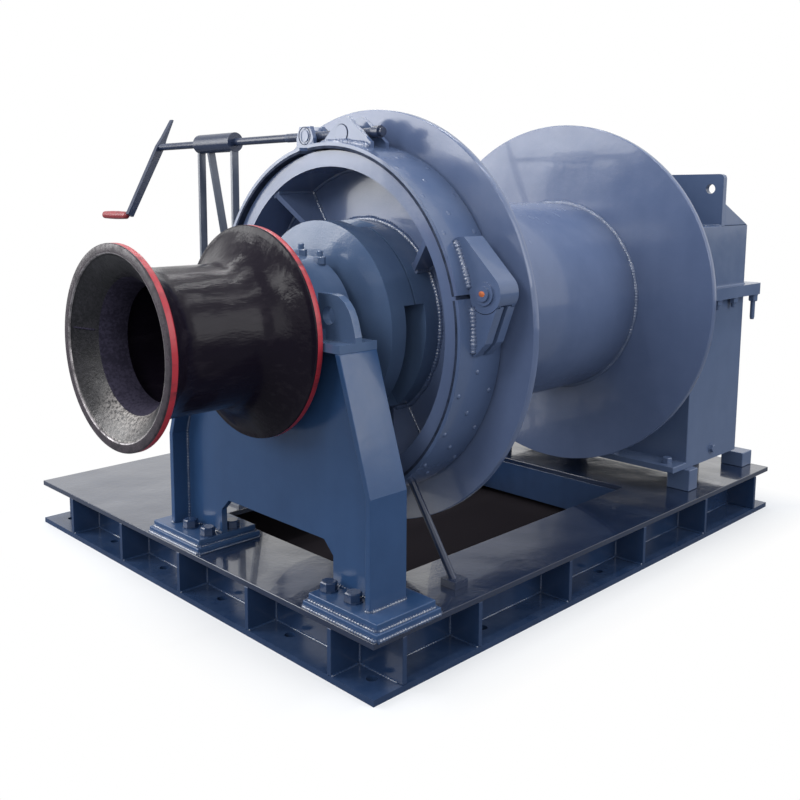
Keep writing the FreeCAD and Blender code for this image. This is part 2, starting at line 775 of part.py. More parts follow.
def make_band():
    halves = (("upper", 82, HINGE_ANGLE - 0.6), ("lower", HINGE_ANGLE + 0.6, 360 + 78))
    for node, inner, outer in (("brake_bands", band_inner, band_outer),
                               ("brake_linings", lining_inner, band_inner)):
        keep(node, together(node + "_pair", [arc_band(node + "_" + name, inner, outer, first, last)
                                             for name, first, last in halves]))

    rise = spindle_rise
    top = d.trunnion_place - d.shaft_offset
    middle = top - 12
    half = d.screw_lug_half
    peak = rise + d.screw_lug_crown
    top_outline = [around(82.5, band_inner), around(82.5, band_outer), (middle + 0.58 * half, rise + 6),
                   (middle + 14, peak - 4), (middle - 2, peak), (middle - 18, peak - 4),
                   (middle - half, rise - 33), around(105.8, band_outer), around(105.8, band_inner),
                   around(94, band_inner)]
    end = d.end_lug_place - d.shaft_offset
    half = d.end_lug_half
    peak = rise + d.end_lug_crown
    end_outline = [(end + half, band_inner * 0.9), (end + half, rise - 8), (end + half - 16, peak),
                   (end + 16 - half, peak), (end - half, rise - 8), (end - half, band_inner * 0.9)]
    lugs = lug_pair("top", top_outline, (top, rise, d.trunnion_radius), 0)
    lugs += lug_pair("end", end_outline, (end, rise, d.spindle_nut_radius), d.end_lug_inset)
    keep("band_screw_lugs", together("screw_lugs", lugs))

    trunnions = []
    for name, centre, radius, inset in (
            ("top", d.trunnion_place, d.trunnion_radius, -d.trunnion_proud),
            ("end", d.end_lug_place, d.spindle_nut_radius, d.end_lug_inset - d.trunnion_proud)):
        bar = cylinder(name + "_trunnion_bar", radius, d.lug_width - 2 * inset,
                       (d.lug_start + inset, centre, spindle_height), "x")
        bore = cylinder(name + "_trunnion_bore", d.spindle_radius + d.running_fit, 4 * radius,
                        (d.spindle_place, centre - 2 * radius, spindle_height), "y")
        trunnions.append(cut(name + "_trunnion_cut", bar, [bore]))
    keep("screw_trunnions", together("trunnion_pair", trunnions))


def slanted_bar(name, radius, low, high):
    """A round bar between two points that no origin plane holds."""
    obj = doc.addObject("Part::Feature", name)
    start = V(*[size(value).number for value in low])
    end = V(*[size(value).number for value in high])
    way = end - start
    obj.Shape = Part.makeCylinder(size(radius).number, way.Length, start, way)
    return obj


def make_strut():
    x = d.spindle_place + 15
    half = d.strut_foot_size / 2
    foot = box("strut_foot_block", (d.strut_foot_size, d.strut_foot_size, d.foot_plate),
               (x - half, d.strut_foot_place - half, d.base_height))
    end_y, end_z = around(237, band_inner)
    bar = slanted_bar("strut_bar", d.strut_radius, (x, d.strut_foot_place, d.base_height + 12),
                      (d.spindle_place - 8, d.shaft_offset + end_y, d.shaft_height + end_z))
    rim = cylinder("strut_rim", band_outer, d.band_width, (band_start, d.shaft_offset, d.shaft_height), "x")
    keep("band_strut", cut("strut_cut", fuse("strut_blank", [foot, bar]), [rim]))


make_band()
make_hinge()
make_strut()

# Brake spindle with its crank, and the sleeve and legs that hold it

CRANK_ANGLE = 28.6


def make_spindle():
    place = d.spindle_place
    height = spindle_height
    bar = cylinder("spindle_bar", d.spindle_radius, d.spindle_end - d.spindle_start,
                   (place, d.spindle_start, height), "y")
    nut = cylinder("spindle_end_nut", d.spindle_nut_radius, d.trunnion_radius,
                   (place, d.spindle_start + d.leg_plate, height), "y")
    keep("brake_spindle", fuse("spindle_and_nut", [bar, nut]))
    sleeve = cylinder("sleeve_outer", d.sleeve_radius, d.sleeve_end - d.sleeve_start,
                      (place, d.sleeve_start, height), "y")
    bore = cylinder("sleeve_bore", d.spindle_radius + d.running_fit, d.sleeve_end - d.sleeve_start,
                    (place, d.sleeve_start, height), "y")
    keep("spindle_sleeve", cut("sleeve_cut", sleeve, [bore]))

    foot_level = d.base_height + d.leg_plate
    leg_top = height - d.sleeve_radius
    legs = []
    feet = []
    for name, y in (("near", d.leg_near_place), ("far", d.leg_far_place)):
        bar = box("leg_bar_" + name, (d.leg_width, d.leg_plate, leg_top + 10 - foot_level),
                  (place - d.leg_width / 2, y - d.leg_plate / 2, foot_level))
        hollow = cylinder("leg_hollow_" + name, d.sleeve_radius, 4 * d.leg_plate,
                          (place, y - 2 * d.leg_plate, height), "y")
        legs.append(cut("leg_cut_" + name, bar, [hollow]))
        feet.append(box("leg_foot_" + name, (d.leg_foot, d.leg_foot, d.leg_plate),
                        (place - d.leg_foot / 2, y - d.leg_foot / 2, d.base_height)))
    reach = d.brace_reach
    half = d.leg_width / 2
    brace = plate("brace_bar", "XZ_Plane",
                  [(reach - half, foot_level), (reach + half, foot_level), (half, height), (-half, height)],
                  d.leg_plate, at=(place, d.brace_place + d.leg_plate, 0))
    brace_hollow = cylinder("brace_hollow", d.sleeve_radius, 4 * d.leg_plate,
                            (place, d.brace_place - 2 * d.leg_plate, height), "y")
    legs.append(cut("brace_cut", brace, [brace_hollow]))
    keep("stand_legs", together("stand_legs_set", legs))
    feet.append(box("leg_foot_brace", (d.leg_foot, d.leg_foot, d.leg_plate),
                    (place + reach - d.leg_foot / 2, d.brace_place - d.leg_foot / 2, d.base_height)))
    keep("stand_feet", together("stand_feet_set", feet))

    half = d.crank_width / 2
    arm = plate("crank_bar", "XZ_Plane",
                [(-0.2 * half, d.crank_stub), (-0.6 * half, d.crank_stub / 3), (-half, 0),
                 (-0.85 * half, -d.crank_length), (0.85 * half, -d.crank_length), (half, 0),
                 (0.6 * half, d.crank_stub / 3), (0.2 * half, d.crank_stub)],
                d.crank_plate)
    arm.Placement = FreeCAD.Placement(V(), FreeCAD.Rotation(V(0, 1, 0), CRANK_ANGLE))
    move(arm, place, d.spindle_end + d.crank_plate, height)
    keep("crank_arm", arm)
    swing = math.radians(CRANK_ANGLE)
    keep("crank_grip", cylinder("grip_bar", d.grip_radius, d.grip_length,
                                (place - math.sin(swing) * d.crank_length, d.spindle_end + d.crank_plate,
                                 height - math.cos(swing) * d.crank_length), "y"))


make_spindle()

# Gearbox on the base, with the motor on its outer end


def make_gearbox():
    near = d.shaft_offset - d.gearbox_half_width
    width = 2 * d.gearbox_half_width
    split = d.gearbox_split
    lower = box("lower_case", (d.gearbox_length, width, split - d.gearbox_bottom),
                (gearbox_start, near, d.gearbox_bottom))
    ear = box("lower_case_ear", (d.foot_ear, width, d.foot_ear_plate),
              (gearbox_start - d.foot_ear, near, d.gearbox_bottom))
    keep("gearbox_lower_case", fuse("lower_case_with_ear", [lower, ear]))
    keep("gearbox_upper_case", box("upper_case", (d.gearbox_length, width, d.gearbox_top - split),
                                   (gearbox_start, near, split)))
    reach = d.split_reach
    corner = d.ear_corner
    x0 = gearbox_start - reach
    x1 = gearbox_start + d.gearbox_length + d.ear_reach
    y0 = near - reach
    y1 = near + width + reach
    flange = plate("split_flange_plate", "XY_Plane",
                   [(x0, y0), (x1 - corner, y0), (x1 - 0.3 * corner, y0 + 0.3 * corner), (x1, y0 + corner),
                    (x1, y1 - corner), (x1 - 0.3 * corner, y1 - 0.3 * corner), (x1 - corner, y1), (x0, y1)],
                   2 * d.split_flange, at=(0, 0, split - d.split_flange))
    case_hollow = box("split_hollow", (d.gearbox_length, width, 2 * d.split_flange),
                      (gearbox_start, near, split - d.split_flange))
    round_clear = cylinder("split_round_clear", d.motor_flange_radius + 10, d.gearbox_length + reach + d.ear_reach,
                           (x0, d.shaft_offset, d.shaft_height), "x")
    keep("gearbox_split_flange", cut("split_cut", flange, [case_hollow, round_clear]))
    back = d.gearbox_half_width
    top = d.gearbox_top + d.lifting_height
    corner = d.lifting_corner
    slip = 0.3 * corner
    outline = [(-back, d.gearbox_top), (-back, top - corner), (slip - back, top - slip), (corner - back, top),
               (back - corner, top), (back - slip, top - slip), (back, top - corner), (back, d.gearbox_top)]
    hole_place = back - 55
    hole_level = top - 60
    keep("lifting_plate", plate("lifting_plate_blank", "YZ_Plane", outline, d.lifting_plate,
                                [(-hole_place, hole_level, d.lifting_hole_radius),
                                 (hole_place, hole_level, d.lifting_hole_radius)],
                                (d.lifting_place, d.shaft_offset, 0)))
    gussets = []
    for index, y in enumerate((near, near + width - d.gusset_plate)):
        outline = [(d.lifting_place + d.lifting_plate, d.gearbox_top),
                   (gearbox_start + d.gearbox_length, d.gearbox_top),
                   (d.lifting_place + d.lifting_plate, d.gearbox_top + d.gusset_height)]
        gussets.append(plate("gusset_%d" % index, "XZ_Plane", outline, d.gusset_plate,
                             at=(0, y + d.gusset_plate, 0)))
    keep("lifting_gussets", together("gusset_pair", gussets))
    foot = d.gearbox_bottom - d.base_height
    length = d.foot_block
    broad = d.foot_block_width
    case_end = gearbox_start + d.gearbox_length
    blocks = []
    for name, x, size_x, inset, rise in (("head_foot", gearbox_start - 15, length, -25, foot),
                                         ("gear_foot", case_end - length, length, d.gear_foot_inset, foot),
                                         ("chock", case_end + d.chock_place, length + 20, -15, d.chock_height)):
        for side, y in enumerate((near + inset, near + width - inset - broad)):
            blocks.append(box("%s_%d" % (name, side), (size_x, broad, rise), (x, y, d.base_height)))
    keep("gearbox_feet", together("foot_blocks", blocks))

    rounds = [("motor_flange", d.motor_flange_radius, 0, d.case_cover_length),
              ("motor_body", d.motor_radius, d.case_cover_length, d.motor_length),
              ("motor_cap", d.motor_cap_radius, d.case_cover_length + d.motor_length, 2 * d.cover_plate)]
    pieces = [cylinder(name, radius, length, (case_end + lead, d.shaft_offset, d.shaft_height), "x")
              for name, radius, lead, length in rounds]
    half = d.motor_port_size / 2
    pieces.append(box("motor_ports", (2 * half, 2 * half, d.motor_radius + half),
                      (case_end + d.case_cover_length + 10, d.shaft_offset - half, d.shaft_height)))
    keep("hydraulic_motor", fuse("motor", pieces))


make_gearbox()

# Check and write


def check_and_export():
    doc.recompute()
    failed = [obj.Name for obj in doc.Objects if "Invalid" in obj.State or "Error" in obj.State]
    if failed:
        raise RuntimeError("objects failed: " + ", ".join(failed))
    os.makedirs("parts", exist_ok=True)
    total = 0
    for name, obj in sub_parts.items():
        shape = obj.Shape
        if shape.isNull() or not shape.isValid():
            raise RuntimeError("bad shape: " + name)
        total += shape.Volume
        print("%-28s %8.4f m3  %d solids" % (name, shape.Volume / 1e9, len(shape.Solids)))
    for name, obj in sub_parts.items():
        obj.Shape.exportStep("parts/%s.step" % name)
    print("%d nodes, %.3f m3" % (len(sub_parts), total / 1e9))


check_and_export()
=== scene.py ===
"""Hydraulic anchor winch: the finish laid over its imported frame.

Lengths are in metres, in the frame's own axes: X along the main shaft, +Z up, the floor at z = 0.
"""
import math

import bmesh
import bpy
import numpy as np
from mathutils import Matrix, Vector


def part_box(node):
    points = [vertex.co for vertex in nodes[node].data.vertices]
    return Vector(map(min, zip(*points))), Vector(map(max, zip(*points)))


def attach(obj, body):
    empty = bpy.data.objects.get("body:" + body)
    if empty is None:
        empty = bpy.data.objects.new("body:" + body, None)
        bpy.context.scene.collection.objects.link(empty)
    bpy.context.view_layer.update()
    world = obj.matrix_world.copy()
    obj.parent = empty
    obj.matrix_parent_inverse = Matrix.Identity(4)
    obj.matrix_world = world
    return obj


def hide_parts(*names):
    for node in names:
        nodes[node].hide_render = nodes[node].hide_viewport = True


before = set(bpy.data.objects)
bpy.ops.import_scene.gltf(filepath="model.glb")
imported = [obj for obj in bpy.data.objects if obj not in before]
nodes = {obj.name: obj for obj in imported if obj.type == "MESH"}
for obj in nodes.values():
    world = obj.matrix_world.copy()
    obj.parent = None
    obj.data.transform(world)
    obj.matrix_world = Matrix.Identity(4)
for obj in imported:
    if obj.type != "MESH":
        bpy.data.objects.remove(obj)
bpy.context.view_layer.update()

# The stand for the picture: a camera a little above the shaft, a pale floor painted near black under the
# base as painted shade, with a painted shadow about it, a white surround, three lamps on the camera's side,
# two at the warping head's end for a window, and three long tubes overhead. None of it belongs to the winch.

scene = bpy.context.scene
scene.view_settings.view_transform = "Standard"

lens = bpy.data.cameras.new("camera")
lens.lens = 42.34
lens.shift_x = 0.069
lens.shift_y = -0.0895
camera = bpy.data.objects.new("camera", lens)
scene.collection.objects.link(camera)
camera_place = (-2.9257, -2.7416, 1.3976)
heading, nod, tilt = (math.radians(turn) for turn in (47.42 - 90, 90 - 8.1, -0.14))
camera.matrix_world = (Matrix.Translation(camera_place) @ Matrix.Rotation(heading, 4, "Z")
                       @ Matrix.Rotation(nod, 4, "X") @ Matrix.Rotation(tilt, 4, "Z"))
scene.camera = camera


def soft_lamp(name, place, aim, length, width, power):
    """A flat lamp, its length level and across the way it shines, turned towards the point it lights."""
    data = bpy.data.lights.new(name, "AREA")
    data.shape = "RECTANGLE"
    data.size = length
    data.size_y = width
    data.energy = power
    lamp = bpy.data.objects.new(name, data)
    scene.collection.objects.link(lamp)
    lamp.location = place
    lamp.rotation_euler = (Vector(aim) - Vector(place)).to_track_quat("-Z", "Y").to_euler()


soft_lamp("front_lamp", (-4.8, -1.0, 3.8), (0.0, -0.4, 0.9), 1.6, 1.6, 80)
soft_lamp("side_lamp", (1.6, -5.2, 3.4), (0.2, 0.0, 0.9), 3.4, 3.4, 120)
soft_lamp("fill_lamp", (-4.4, -4.2, 2.4), (-0.2, -0.3, 0.9), 3.0, 3.0, 50)
soft_lamp("window_lamp", (-4.3, 3.4, 3.1), (-0.4, -0.2, 1.2), 3.0, 3.0, 215)
soft_lamp("low_window_lamp", (-4.3, 4.1, 1.3), (-0.9, -0.3, 1.25), 1.9, 0.8, 26)
tube_x, tube_height, tube_length, tube_width, tube_power = 0.2, 4.7, 4.4, 0.14, 50
for tube, across in enumerate((-1.9, 0.2, 2.3)):
    soft_lamp(f"tube_lamp_{tube + 1}", (tube_x, across, tube_height), (tube_x, across * 0.6, 0.6),
              tube_length, tube_width, tube_power)


def add_node(tree, kind, inputs=(), **settings):
    """One shader node, with its settings, and with its inputs set by name."""
    node = tree.nodes.new("ShaderNode" + kind)
    for key, value in settings.items():
        setattr(node, key, value)
    for key, value in dict(inputs).items():
        node.inputs[key].default_value = value
    return node


def seen_or_mirrored(tree):
    """A mask that is 1 for what the camera, a mirror or glass sees, and 0 for what lights the object."""
    path = add_node(tree, "LightPath")
    rays = add_node(tree, "Math", operation="MAXIMUM")
    either = add_node(tree, "Math", operation="MAXIMUM")
    tree.links.new(path.outputs["Is Camera Ray"], rays.inputs[0])
    tree.links.new(path.outputs["Is Glossy Ray"], rays.inputs[1])
    tree.links.new(rays.outputs[0], either.inputs[0])
    tree.links.new(path.outputs["Is Transmission Ray"], either.inputs[1])
    return either.outputs[0]


surround = bpy.data.worlds.new("surround")
scene.world = surround
surround.use_nodes = True
sky = surround.node_tree
sky.nodes.clear()
ambient = add_node(sky, "Background", {"Color": (0.84, 0.91, 1.0, 1), "Strength": 0.70})
white = add_node(sky, "Background", {"Color": (1, 1, 1, 1), "Strength": 1.0})
choose = add_node(sky, "MixShader")
sky_out = add_node(sky, "OutputWorld")
sky.links.new(seen_or_mirrored(sky), choose.inputs[0])
sky.links.new(ambient.outputs[0], choose.inputs[1])
sky.links.new(white.outputs[0], choose.inputs[2])
sky.links.new(choose.outputs[0], sky_out.inputs[0])

floor_paint = bpy.data.materials.new("floor")
floor_paint.use_nodes = True
floor_tree = floor_paint.node_tree
floor_tree.nodes.clear()
floor_place = add_node(floor_tree, "SeparateXYZ")
floor_tree.links.new(add_node(floor_tree, "TexCoord").outputs["Object"], floor_place.inputs[0])
sides = []
# Under the base the floor is painted near black, and round it the camera's glow comes in slowly: painted
# shade and a painted shadow for the machine.
base_half_length, base_half_width = 1.235, 1.015
painted_shade_fades, chalk_starts, chalk_white = 0.86, 0.97, 1.22
for axis, half in (("X", base_half_length), ("Y", base_half_width)):
    away = add_node(floor_tree, "Math", operation="ABSOLUTE")
    floor_tree.links.new(floor_place.outputs[axis], away.inputs[0])
    share = add_node(floor_tree, "Math", {1: half}, operation="DIVIDE")
    floor_tree.links.new(away.outputs[0], share.inputs[0])
    sides.append(share.outputs[0])
furthest = add_node(floor_tree, "Math", operation="MAXIMUM")
painted_shade_edge = add_node(floor_tree, "MapRange", {"From Min": painted_shade_fades, "From Max": chalk_starts})
outside = add_node(floor_tree, "MapRange", {"From Min": painted_shade_fades, "From Max": chalk_white})
camera_path = add_node(floor_tree, "LightPath")
washed_out = add_node(floor_tree, "Math", operation="MULTIPLY")
bounce = add_node(floor_tree, "BsdfDiffuse", {"Color": (0.20, 0.205, 0.215, 1)})
painted_floor_shade = add_node(floor_tree, "BsdfDiffuse", {"Color": (0.022, 0.019, 0.022, 1)})
chalk = add_node(floor_tree, "BsdfDiffuse", {"Color": (0.72, 0.73, 0.75, 1)})
glow = add_node(floor_tree, "Emission", {"Color": (1, 1, 1, 1), "Strength": 1.0})
ground = add_node(floor_tree, "MixShader")
as_seen = add_node(floor_tree, "MixShader")
floor_mix = add_node(floor_tree, "MixShader")
floor_out = add_node(floor_tree, "OutputMaterial")
for source, target in ((sides[0], furthest.inputs[0]), (sides[1], furthest.inputs[1]),
                       (furthest.outputs[0], outside.inputs["Value"]),
                       (furthest.outputs[0], painted_shade_edge.inputs["Value"]),
                       (painted_shade_edge.outputs[0], ground.inputs[0]),
                       (painted_floor_shade.outputs[0], ground.inputs[1]), (chalk.outputs[0], ground.inputs[2]),
                       (camera_path.outputs["Is Camera Ray"], washed_out.inputs[0]),
                       (outside.outputs[0], washed_out.inputs[1]),
                       (camera_path.outputs["Is Camera Ray"], as_seen.inputs[0]),
                       (bounce.outputs[0], as_seen.inputs[1]), (ground.outputs[0], as_seen.inputs[2]),
                       (washed_out.outputs[0], floor_mix.inputs[0]),
                       (as_seen.outputs[0], floor_mix.inputs[1]), (glow.outputs[0], floor_mix.inputs[2]),
                       (floor_mix.outputs[0], floor_out.inputs[0])):
    floor_tree.links.new(source, target)

floor_mesh = bpy.data.meshes.new("floor")
floor_reach = 30.0
floor_mesh.from_pydata([(-floor_reach, -floor_reach, 0), (floor_reach, -floor_reach, 0),
                        (floor_reach, floor_reach, 0), (-floor_reach, floor_reach, 0)], [], [(0, 1, 2, 3)])
floor_mesh.materials.append(floor_paint)
floor = bpy.data.objects.new("floor", floor_mesh)
scene.collection.objects.link(floor)

# The base frame: rolled plate webs and stiffeners between a top plate and a bottom flange, welded
# all round, then sprayed with blue gloss. Its flat tops have gathered a little yard dust. Its paint is
# the winch's one blue, set darker here than on the drum as painted shade.


def new_group(name, inputs, outputs):
    """An empty shader node group with named sockets, and its two end nodes."""
    group = bpy.data.node_groups.new(name, "ShaderNodeTree")
    for label, kind, value in inputs:
        socket = group.interface.new_socket(label, in_out="INPUT", socket_type="NodeSocket" + kind)
        socket.default_value = value
    for label, kind in outputs:
        group.interface.new_socket(label, in_out="OUTPUT", socket_type="NodeSocket" + kind)
    return group, group.nodes.new("NodeGroupInput"), group.nodes.new("NodeGroupOutput")


def noise(tree, place, scale, detail, roughness=0.5, stretch=None):
    """Noise on the object's own coordinates, drawn out along an axis if a stretch is given."""
    node = add_node(tree, "TexNoise", {"Scale": scale, "Detail": detail, "Roughness": roughness})
    if stretch:
        mapping = add_node(tree, "Mapping", {"Scale": stretch})
        tree.links.new(place, mapping.inputs["Vector"])
        place = mapping.outputs["Vector"]
    tree.links.new(place, node.inputs["Vector"])
    return node.outputs["Fac"]


def combine(tree, operation, first, second):
    """One sum on two values; each is a socket or a number."""
    node = add_node(tree, "Math", operation=operation)
    for socket, value in zip(node.inputs, (first, second)):
        if isinstance(value, (int, float)):
            socket.default_value = value
        else:
            tree.links.new(value, socket)
    return node.outputs[0]


def ramp(tree, value, low, high, start=0.0, end=1.0):
    """A value carried from one range to another, and held at its ends."""
    node = add_node(tree, "MapRange", {"From Min": low, "From Max": high, "To Min": start, "To Max": end})
    tree.links.new(value, node.inputs["Value"])
    return node.outputs["Result"]


def blend_colour(tree, share, first, second):
    """Two colours mixed by a share; each is a socket or a colour."""
    node = add_node(tree, "Mix", data_type="RGBA")
    for socket, value in zip((node.inputs[0], node.inputs[6], node.inputs[7]), (share, first, second)):
        if isinstance(value, (int, float, tuple)):
            socket.default_value = value
        else:
            tree.links.new(value, socket)
    return node.outputs[2]


def bump(tree, height):
    """A normal from a height in metres."""
    node = add_node(tree, "Bump", {"Strength": 1.0, "Distance": 1.0})
    tree.links.new(height, node.inputs["Height"])
    return node.outputs["Normal"]


film, given, result = new_group("paint_film", [
    ("Paint", "Color", (0.04, 0.07, 0.14, 1)), ("Shade", "Color", (0.03, 0.05, 0.11, 1)),
    ("Dust", "Float", 0.3), ("Ripple", "Float", 0.5), ("Peel", "Float", 0.5), ("Gloss", "Float", 0.2)],
    [("Colour", "Color"), ("Roughness", "Float"), ("Normal", "Vector")])
spot = add_node(film, "TexCoord").outputs["Object"]
broad = noise(film, spot, 1.7, 3.0)
cloud = noise(film, spot, 12.0, 6.0, 0.62)
run = noise(film, spot, 1.0, 3.0, 0.5, (24.0, 24.0, 1.6))
tone = combine(film, "ADD", combine(film, "MULTIPLY", broad, 0.55), combine(film, "MULTIPLY", cloud, 0.3))
tone = combine(film, "ADD", tone, combine(film, "MULTIPLY", run, 0.15))
coat = blend_colour(film, ramp(film, tone, 0.36, 0.64), given.outputs["Shade"], given.outputs["Paint"])
facing = add_node(film, "SeparateXYZ")
film.links.new(add_node(film, "NewGeometry").outputs["Normal"], facing.inputs[0])
settled = combine(film, "MULTIPLY", ramp(film, facing.outputs["Z"], 0.55, 0.98),
                  ramp(film, cloud, 0.38, 0.66))
settled = combine(film, "MULTIPLY", settled, given.outputs["Dust"])
film.links.new(blend_colour(film, settled, coat, (0.20, 0.21, 0.225, 1)), result.inputs["Colour"])
matt = combine(film, "ADD", given.outputs["Gloss"], combine(film, "MULTIPLY", settled, 0.35))
film.links.new(combine(film, "ADD", matt, ramp(film, cloud, 0.3, 0.7, -0.03, 0.05)),
               result.inputs["Roughness"])
wave_height, spray_height, peel_height = 0.006, 0.00055, 0.00022
wave = combine(film, "MULTIPLY", noise(film, spot, 4.2, 1.0),
               combine(film, "MULTIPLY", given.outputs["Ripple"], wave_height))
wave = combine(film, "ADD", wave, combine(film, "MULTIPLY", noise(film, spot, 30.0, 3.0, 0.6),
                                          combine(film, "MULTIPLY", given.outputs["Ripple"], spray_height)))
skin_grain = combine(film, "MULTIPLY", noise(film, spot, 170.0, 2.0),
                     combine(film, "MULTIPLY", given.outputs["Peel"], peel_height))
film.links.new(bump(film, combine(film, "ADD", wave, skin_grain)), result.inputs["Normal"])


def finish(name, group, values, **shader):
    """A material that takes its colour, roughness and normal from a group with its own values."""
    material = bpy.data.materials.new(name)
    material.use_nodes = True
    tree = material.node_tree
    tree.nodes.clear()
    effect = add_node(tree, "Group", node_tree=group)
    for key, value in values.items():
        effect.inputs[key].default_value = value
    body = add_node(tree, "BsdfPrincipled", {key.replace("_", " "): value for key, value in shader.items()})
    out = add_node(tree, "OutputMaterial")
    tree.links.new(effect.outputs["Colour"], body.inputs["Base Color"])
    tree.links.new(effect.outputs["Roughness"], body.inputs["Roughness"])
    tree.links.new(effect.outputs["Normal"], body.inputs["Normal"])
    tree.links.new(body.outputs[0], out.inputs[0])
    return material


def dress(material, *names):
    """Give CAD nodes a finish in place of their plain one."""
    for name in names:
        nodes[name].material_slots[0].material = material


def soften(width, *names):
    """Round the sharp edges of CAD nodes over a width, as ground and painted plate edges are."""
    for name in names:
        weld = nodes[name].modifiers.new("weld", "WELD")
        weld.merge_threshold = 0.00002
        rounding = nodes[name].modifiers.new("rounding", "BEVEL")
        rounding.width = width
        rounding.segments = 2
        rounding.limit_method = "ANGLE"
        rounding.angle_limit = math.radians(40)
        rounding.harden_normals = True


# The frame's copy of the winch's one blue paint is set darker than the drum's: painted shade for the low
# frame.
frame_paint = finish("frame_paint", film, {
    "Paint": (0.022, 0.046, 0.108, 1), "Shade": (0.014, 0.030, 0.074, 1),
    "Dust": 0.06, "Ripple": 0.6, "Peel": 0.9, "Gloss": 0.16}, Specular_IOR_Level=0.34, Coat_Weight=0.15,
    Coat_Roughness=0.06)
# The deck's copy is darker still: painted shade under the machine.
deck_paint = finish("deck_paint", film, {
    "Paint": (0.012, 0.022, 0.052, 1), "Shade": (0.007, 0.014, 0.038, 1),
    "Dust": 0.04, "Ripple": 1.8, "Peel": 1.2, "Gloss": 0.14}, Specular_IOR_Level=0.40, Coat_Weight=0.70,
    Coat_Roughness=0.05)
dress(deck_paint, "base_top_plate")
dress(frame_paint, "base_bottom_flange", "base_end_webs", "base_side_webs",
      "base_cross_webs", "base_end_stiffeners", "base_side_stiffeners")
soften(0.0025, "base_top_plate", "base_end_webs", "base_side_webs", "base_cross_webs",
       "base_end_stiffeners", "base_side_stiffeners")


def grid_faces(rows, columns, round_rows=False, round_columns=False):
    """The four-sided faces of a grid of points: each joins a point to the next in its row and to the two
    beside them in the next row."""
    row = np.arange(rows if round_rows else rows - 1)[:, None]
    column = np.arange(columns if round_columns else columns - 1)[None, :]
    next_row, next_column = (row + 1) % rows, (column + 1) % columns
    corners = (row * columns + column, row * columns + next_column,
               next_row * columns + next_column, next_row * columns + column)
    return np.stack(np.broadcast_arrays(*corners), -1).reshape(-1, 4)


def piece(name, points, faces, materials, body, slot, picks=None, crease=32):
    """One finished mesh from arrays of points and faces: doubles merged, faces turned outwards, and smooth
    but for edges sharper than the crease angle."""
    mesh = bpy.data.meshes.new(name)
    mesh.from_pydata(points.reshape(-1, 3).tolist(), [], faces.tolist())
    for material in materials:
        mesh.materials.append(material)
    if picks is not None:
        mesh.polygons.foreach_set("material_index", np.asarray(picks, np.int32))
    work = bmesh.new()
    work.from_mesh(mesh)
    bmesh.ops.remove_doubles(work, verts=work.verts, dist=0.000002)
    bmesh.ops.recalc_face_normals(work, faces=work.faces)
    work.to_mesh(mesh)
    work.free()
    mesh.shade_smooth()
    mesh.set_sharp_from_angle(angle=math.radians(crease))
    made = bpy.data.objects.new(name, mesh)
    scene.collection.objects.link(made)
    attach(made, body)
    return made


def join_grids(grids, **rounds):
    """Several grids of points as one list of points and one of faces, numbered on from grid to grid."""
    points, faces, count = [], [], 0
    for grid in grids:
        faces.append(grid_faces(grid.shape[0], grid.shape[1], **rounds) + count)
        points.append(grid.reshape(-1, 3))
        count += len(points[-1])
    return np.concatenate(points), np.concatenate(faces)


def straight(start, end, step=0.004):
    """Points along a straight line, a step apart."""
    start, end = np.array(start, float), np.array(end, float)
    count = max(3, int(np.linalg.norm(end - start) / step))
    return start + np.linspace(0, 1, count)[:, None] * (end - start)


def bead_grid(path, size, pass_length=0.011):
    """A weld bead along a path: a ring of six points about each point of it, square to the way it runs. Its
    radius swells and shrinks by a fifth with each pass of the torch and by an eighth over a longer wave, and
    falls to nothing at the two ends. The ring's sides come from a slant that no bead follows."""
    way = np.gradient(path, axis=0)
    way /= np.linalg.norm(way, axis=1, keepdims=True)
    slant = (0.31, 0.52, 0.79)
    side = np.cross(way, slant)
    side /= np.linalg.norm(side, axis=1, keepdims=True)
    other = np.cross(way, side)
    run_length = np.concatenate([[0], np.cumsum(np.linalg.norm(np.diff(path, axis=0), axis=1))])
    torch_wave, hand_wave = np.sin(run_length / pass_length * 2 * np.pi), np.sin(run_length * 71)
    swell = 1 + 0.20 * torch_wave + 0.12 * hand_wave
    swell[[0, -1]] = 0
    turn = np.arange(6) / 6 * 2 * np.pi
    ring = np.cos(turn)[None, :, None] * side[:, None, :] + np.sin(turn)[None, :, None] * other[:, None, :]
    return path[:, None, :] + size * swell[:, None, None] * ring


def weld(name, paths, size, material, body, slot):
    """All the beads of one piece, as one mesh."""
    points, faces = join_grids([bead_grid(path, size) for path in paths], round_columns=True)
    return piece(name, points, faces, [material], body, slot, crease=80)


base_low, base_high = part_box("base_top_plate")
web_low, web_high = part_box("base_end_webs")
web_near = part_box("base_side_webs")[0].y
web_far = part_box("base_side_webs")[1].y
flange_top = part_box("base_bottom_flange")[1].z
stiffener_plate = 0.016
end_stiffeners = -0.838 + 0.396 * np.arange(5)
side_stiffeners = -0.785 + 0.480 * np.arange(4)
fillet, fillet_end = 0.005, 0.02
base_runs = []
for x, out in ((web_low.x, base_low.x), (web_high.x, base_high.x)):
    base_runs.append(straight((x, base_low.y + fillet_end, flange_top),
                              (x, base_high.y - fillet_end, flange_top)))
    for y in end_stiffeners:
        for edge in (y, y + stiffener_plate):
            base_runs.append(straight((x, edge, flange_top), (x, edge, base_low.z)))
            base_runs.append(straight((x, edge, flange_top), (out, edge, flange_top)))
for y, out in ((web_near, base_low.y), (web_far, base_high.y)):
    base_runs.append(straight((web_low.x, y, flange_top), (web_high.x, y, flange_top)))
    for x in side_stiffeners:
        for edge in (x, x + stiffener_plate):
            base_runs.append(straight((edge, y, flange_top), (edge, y, base_low.z)))
            base_runs.append(straight((edge, y, flange_top), (edge, out, flange_top)))
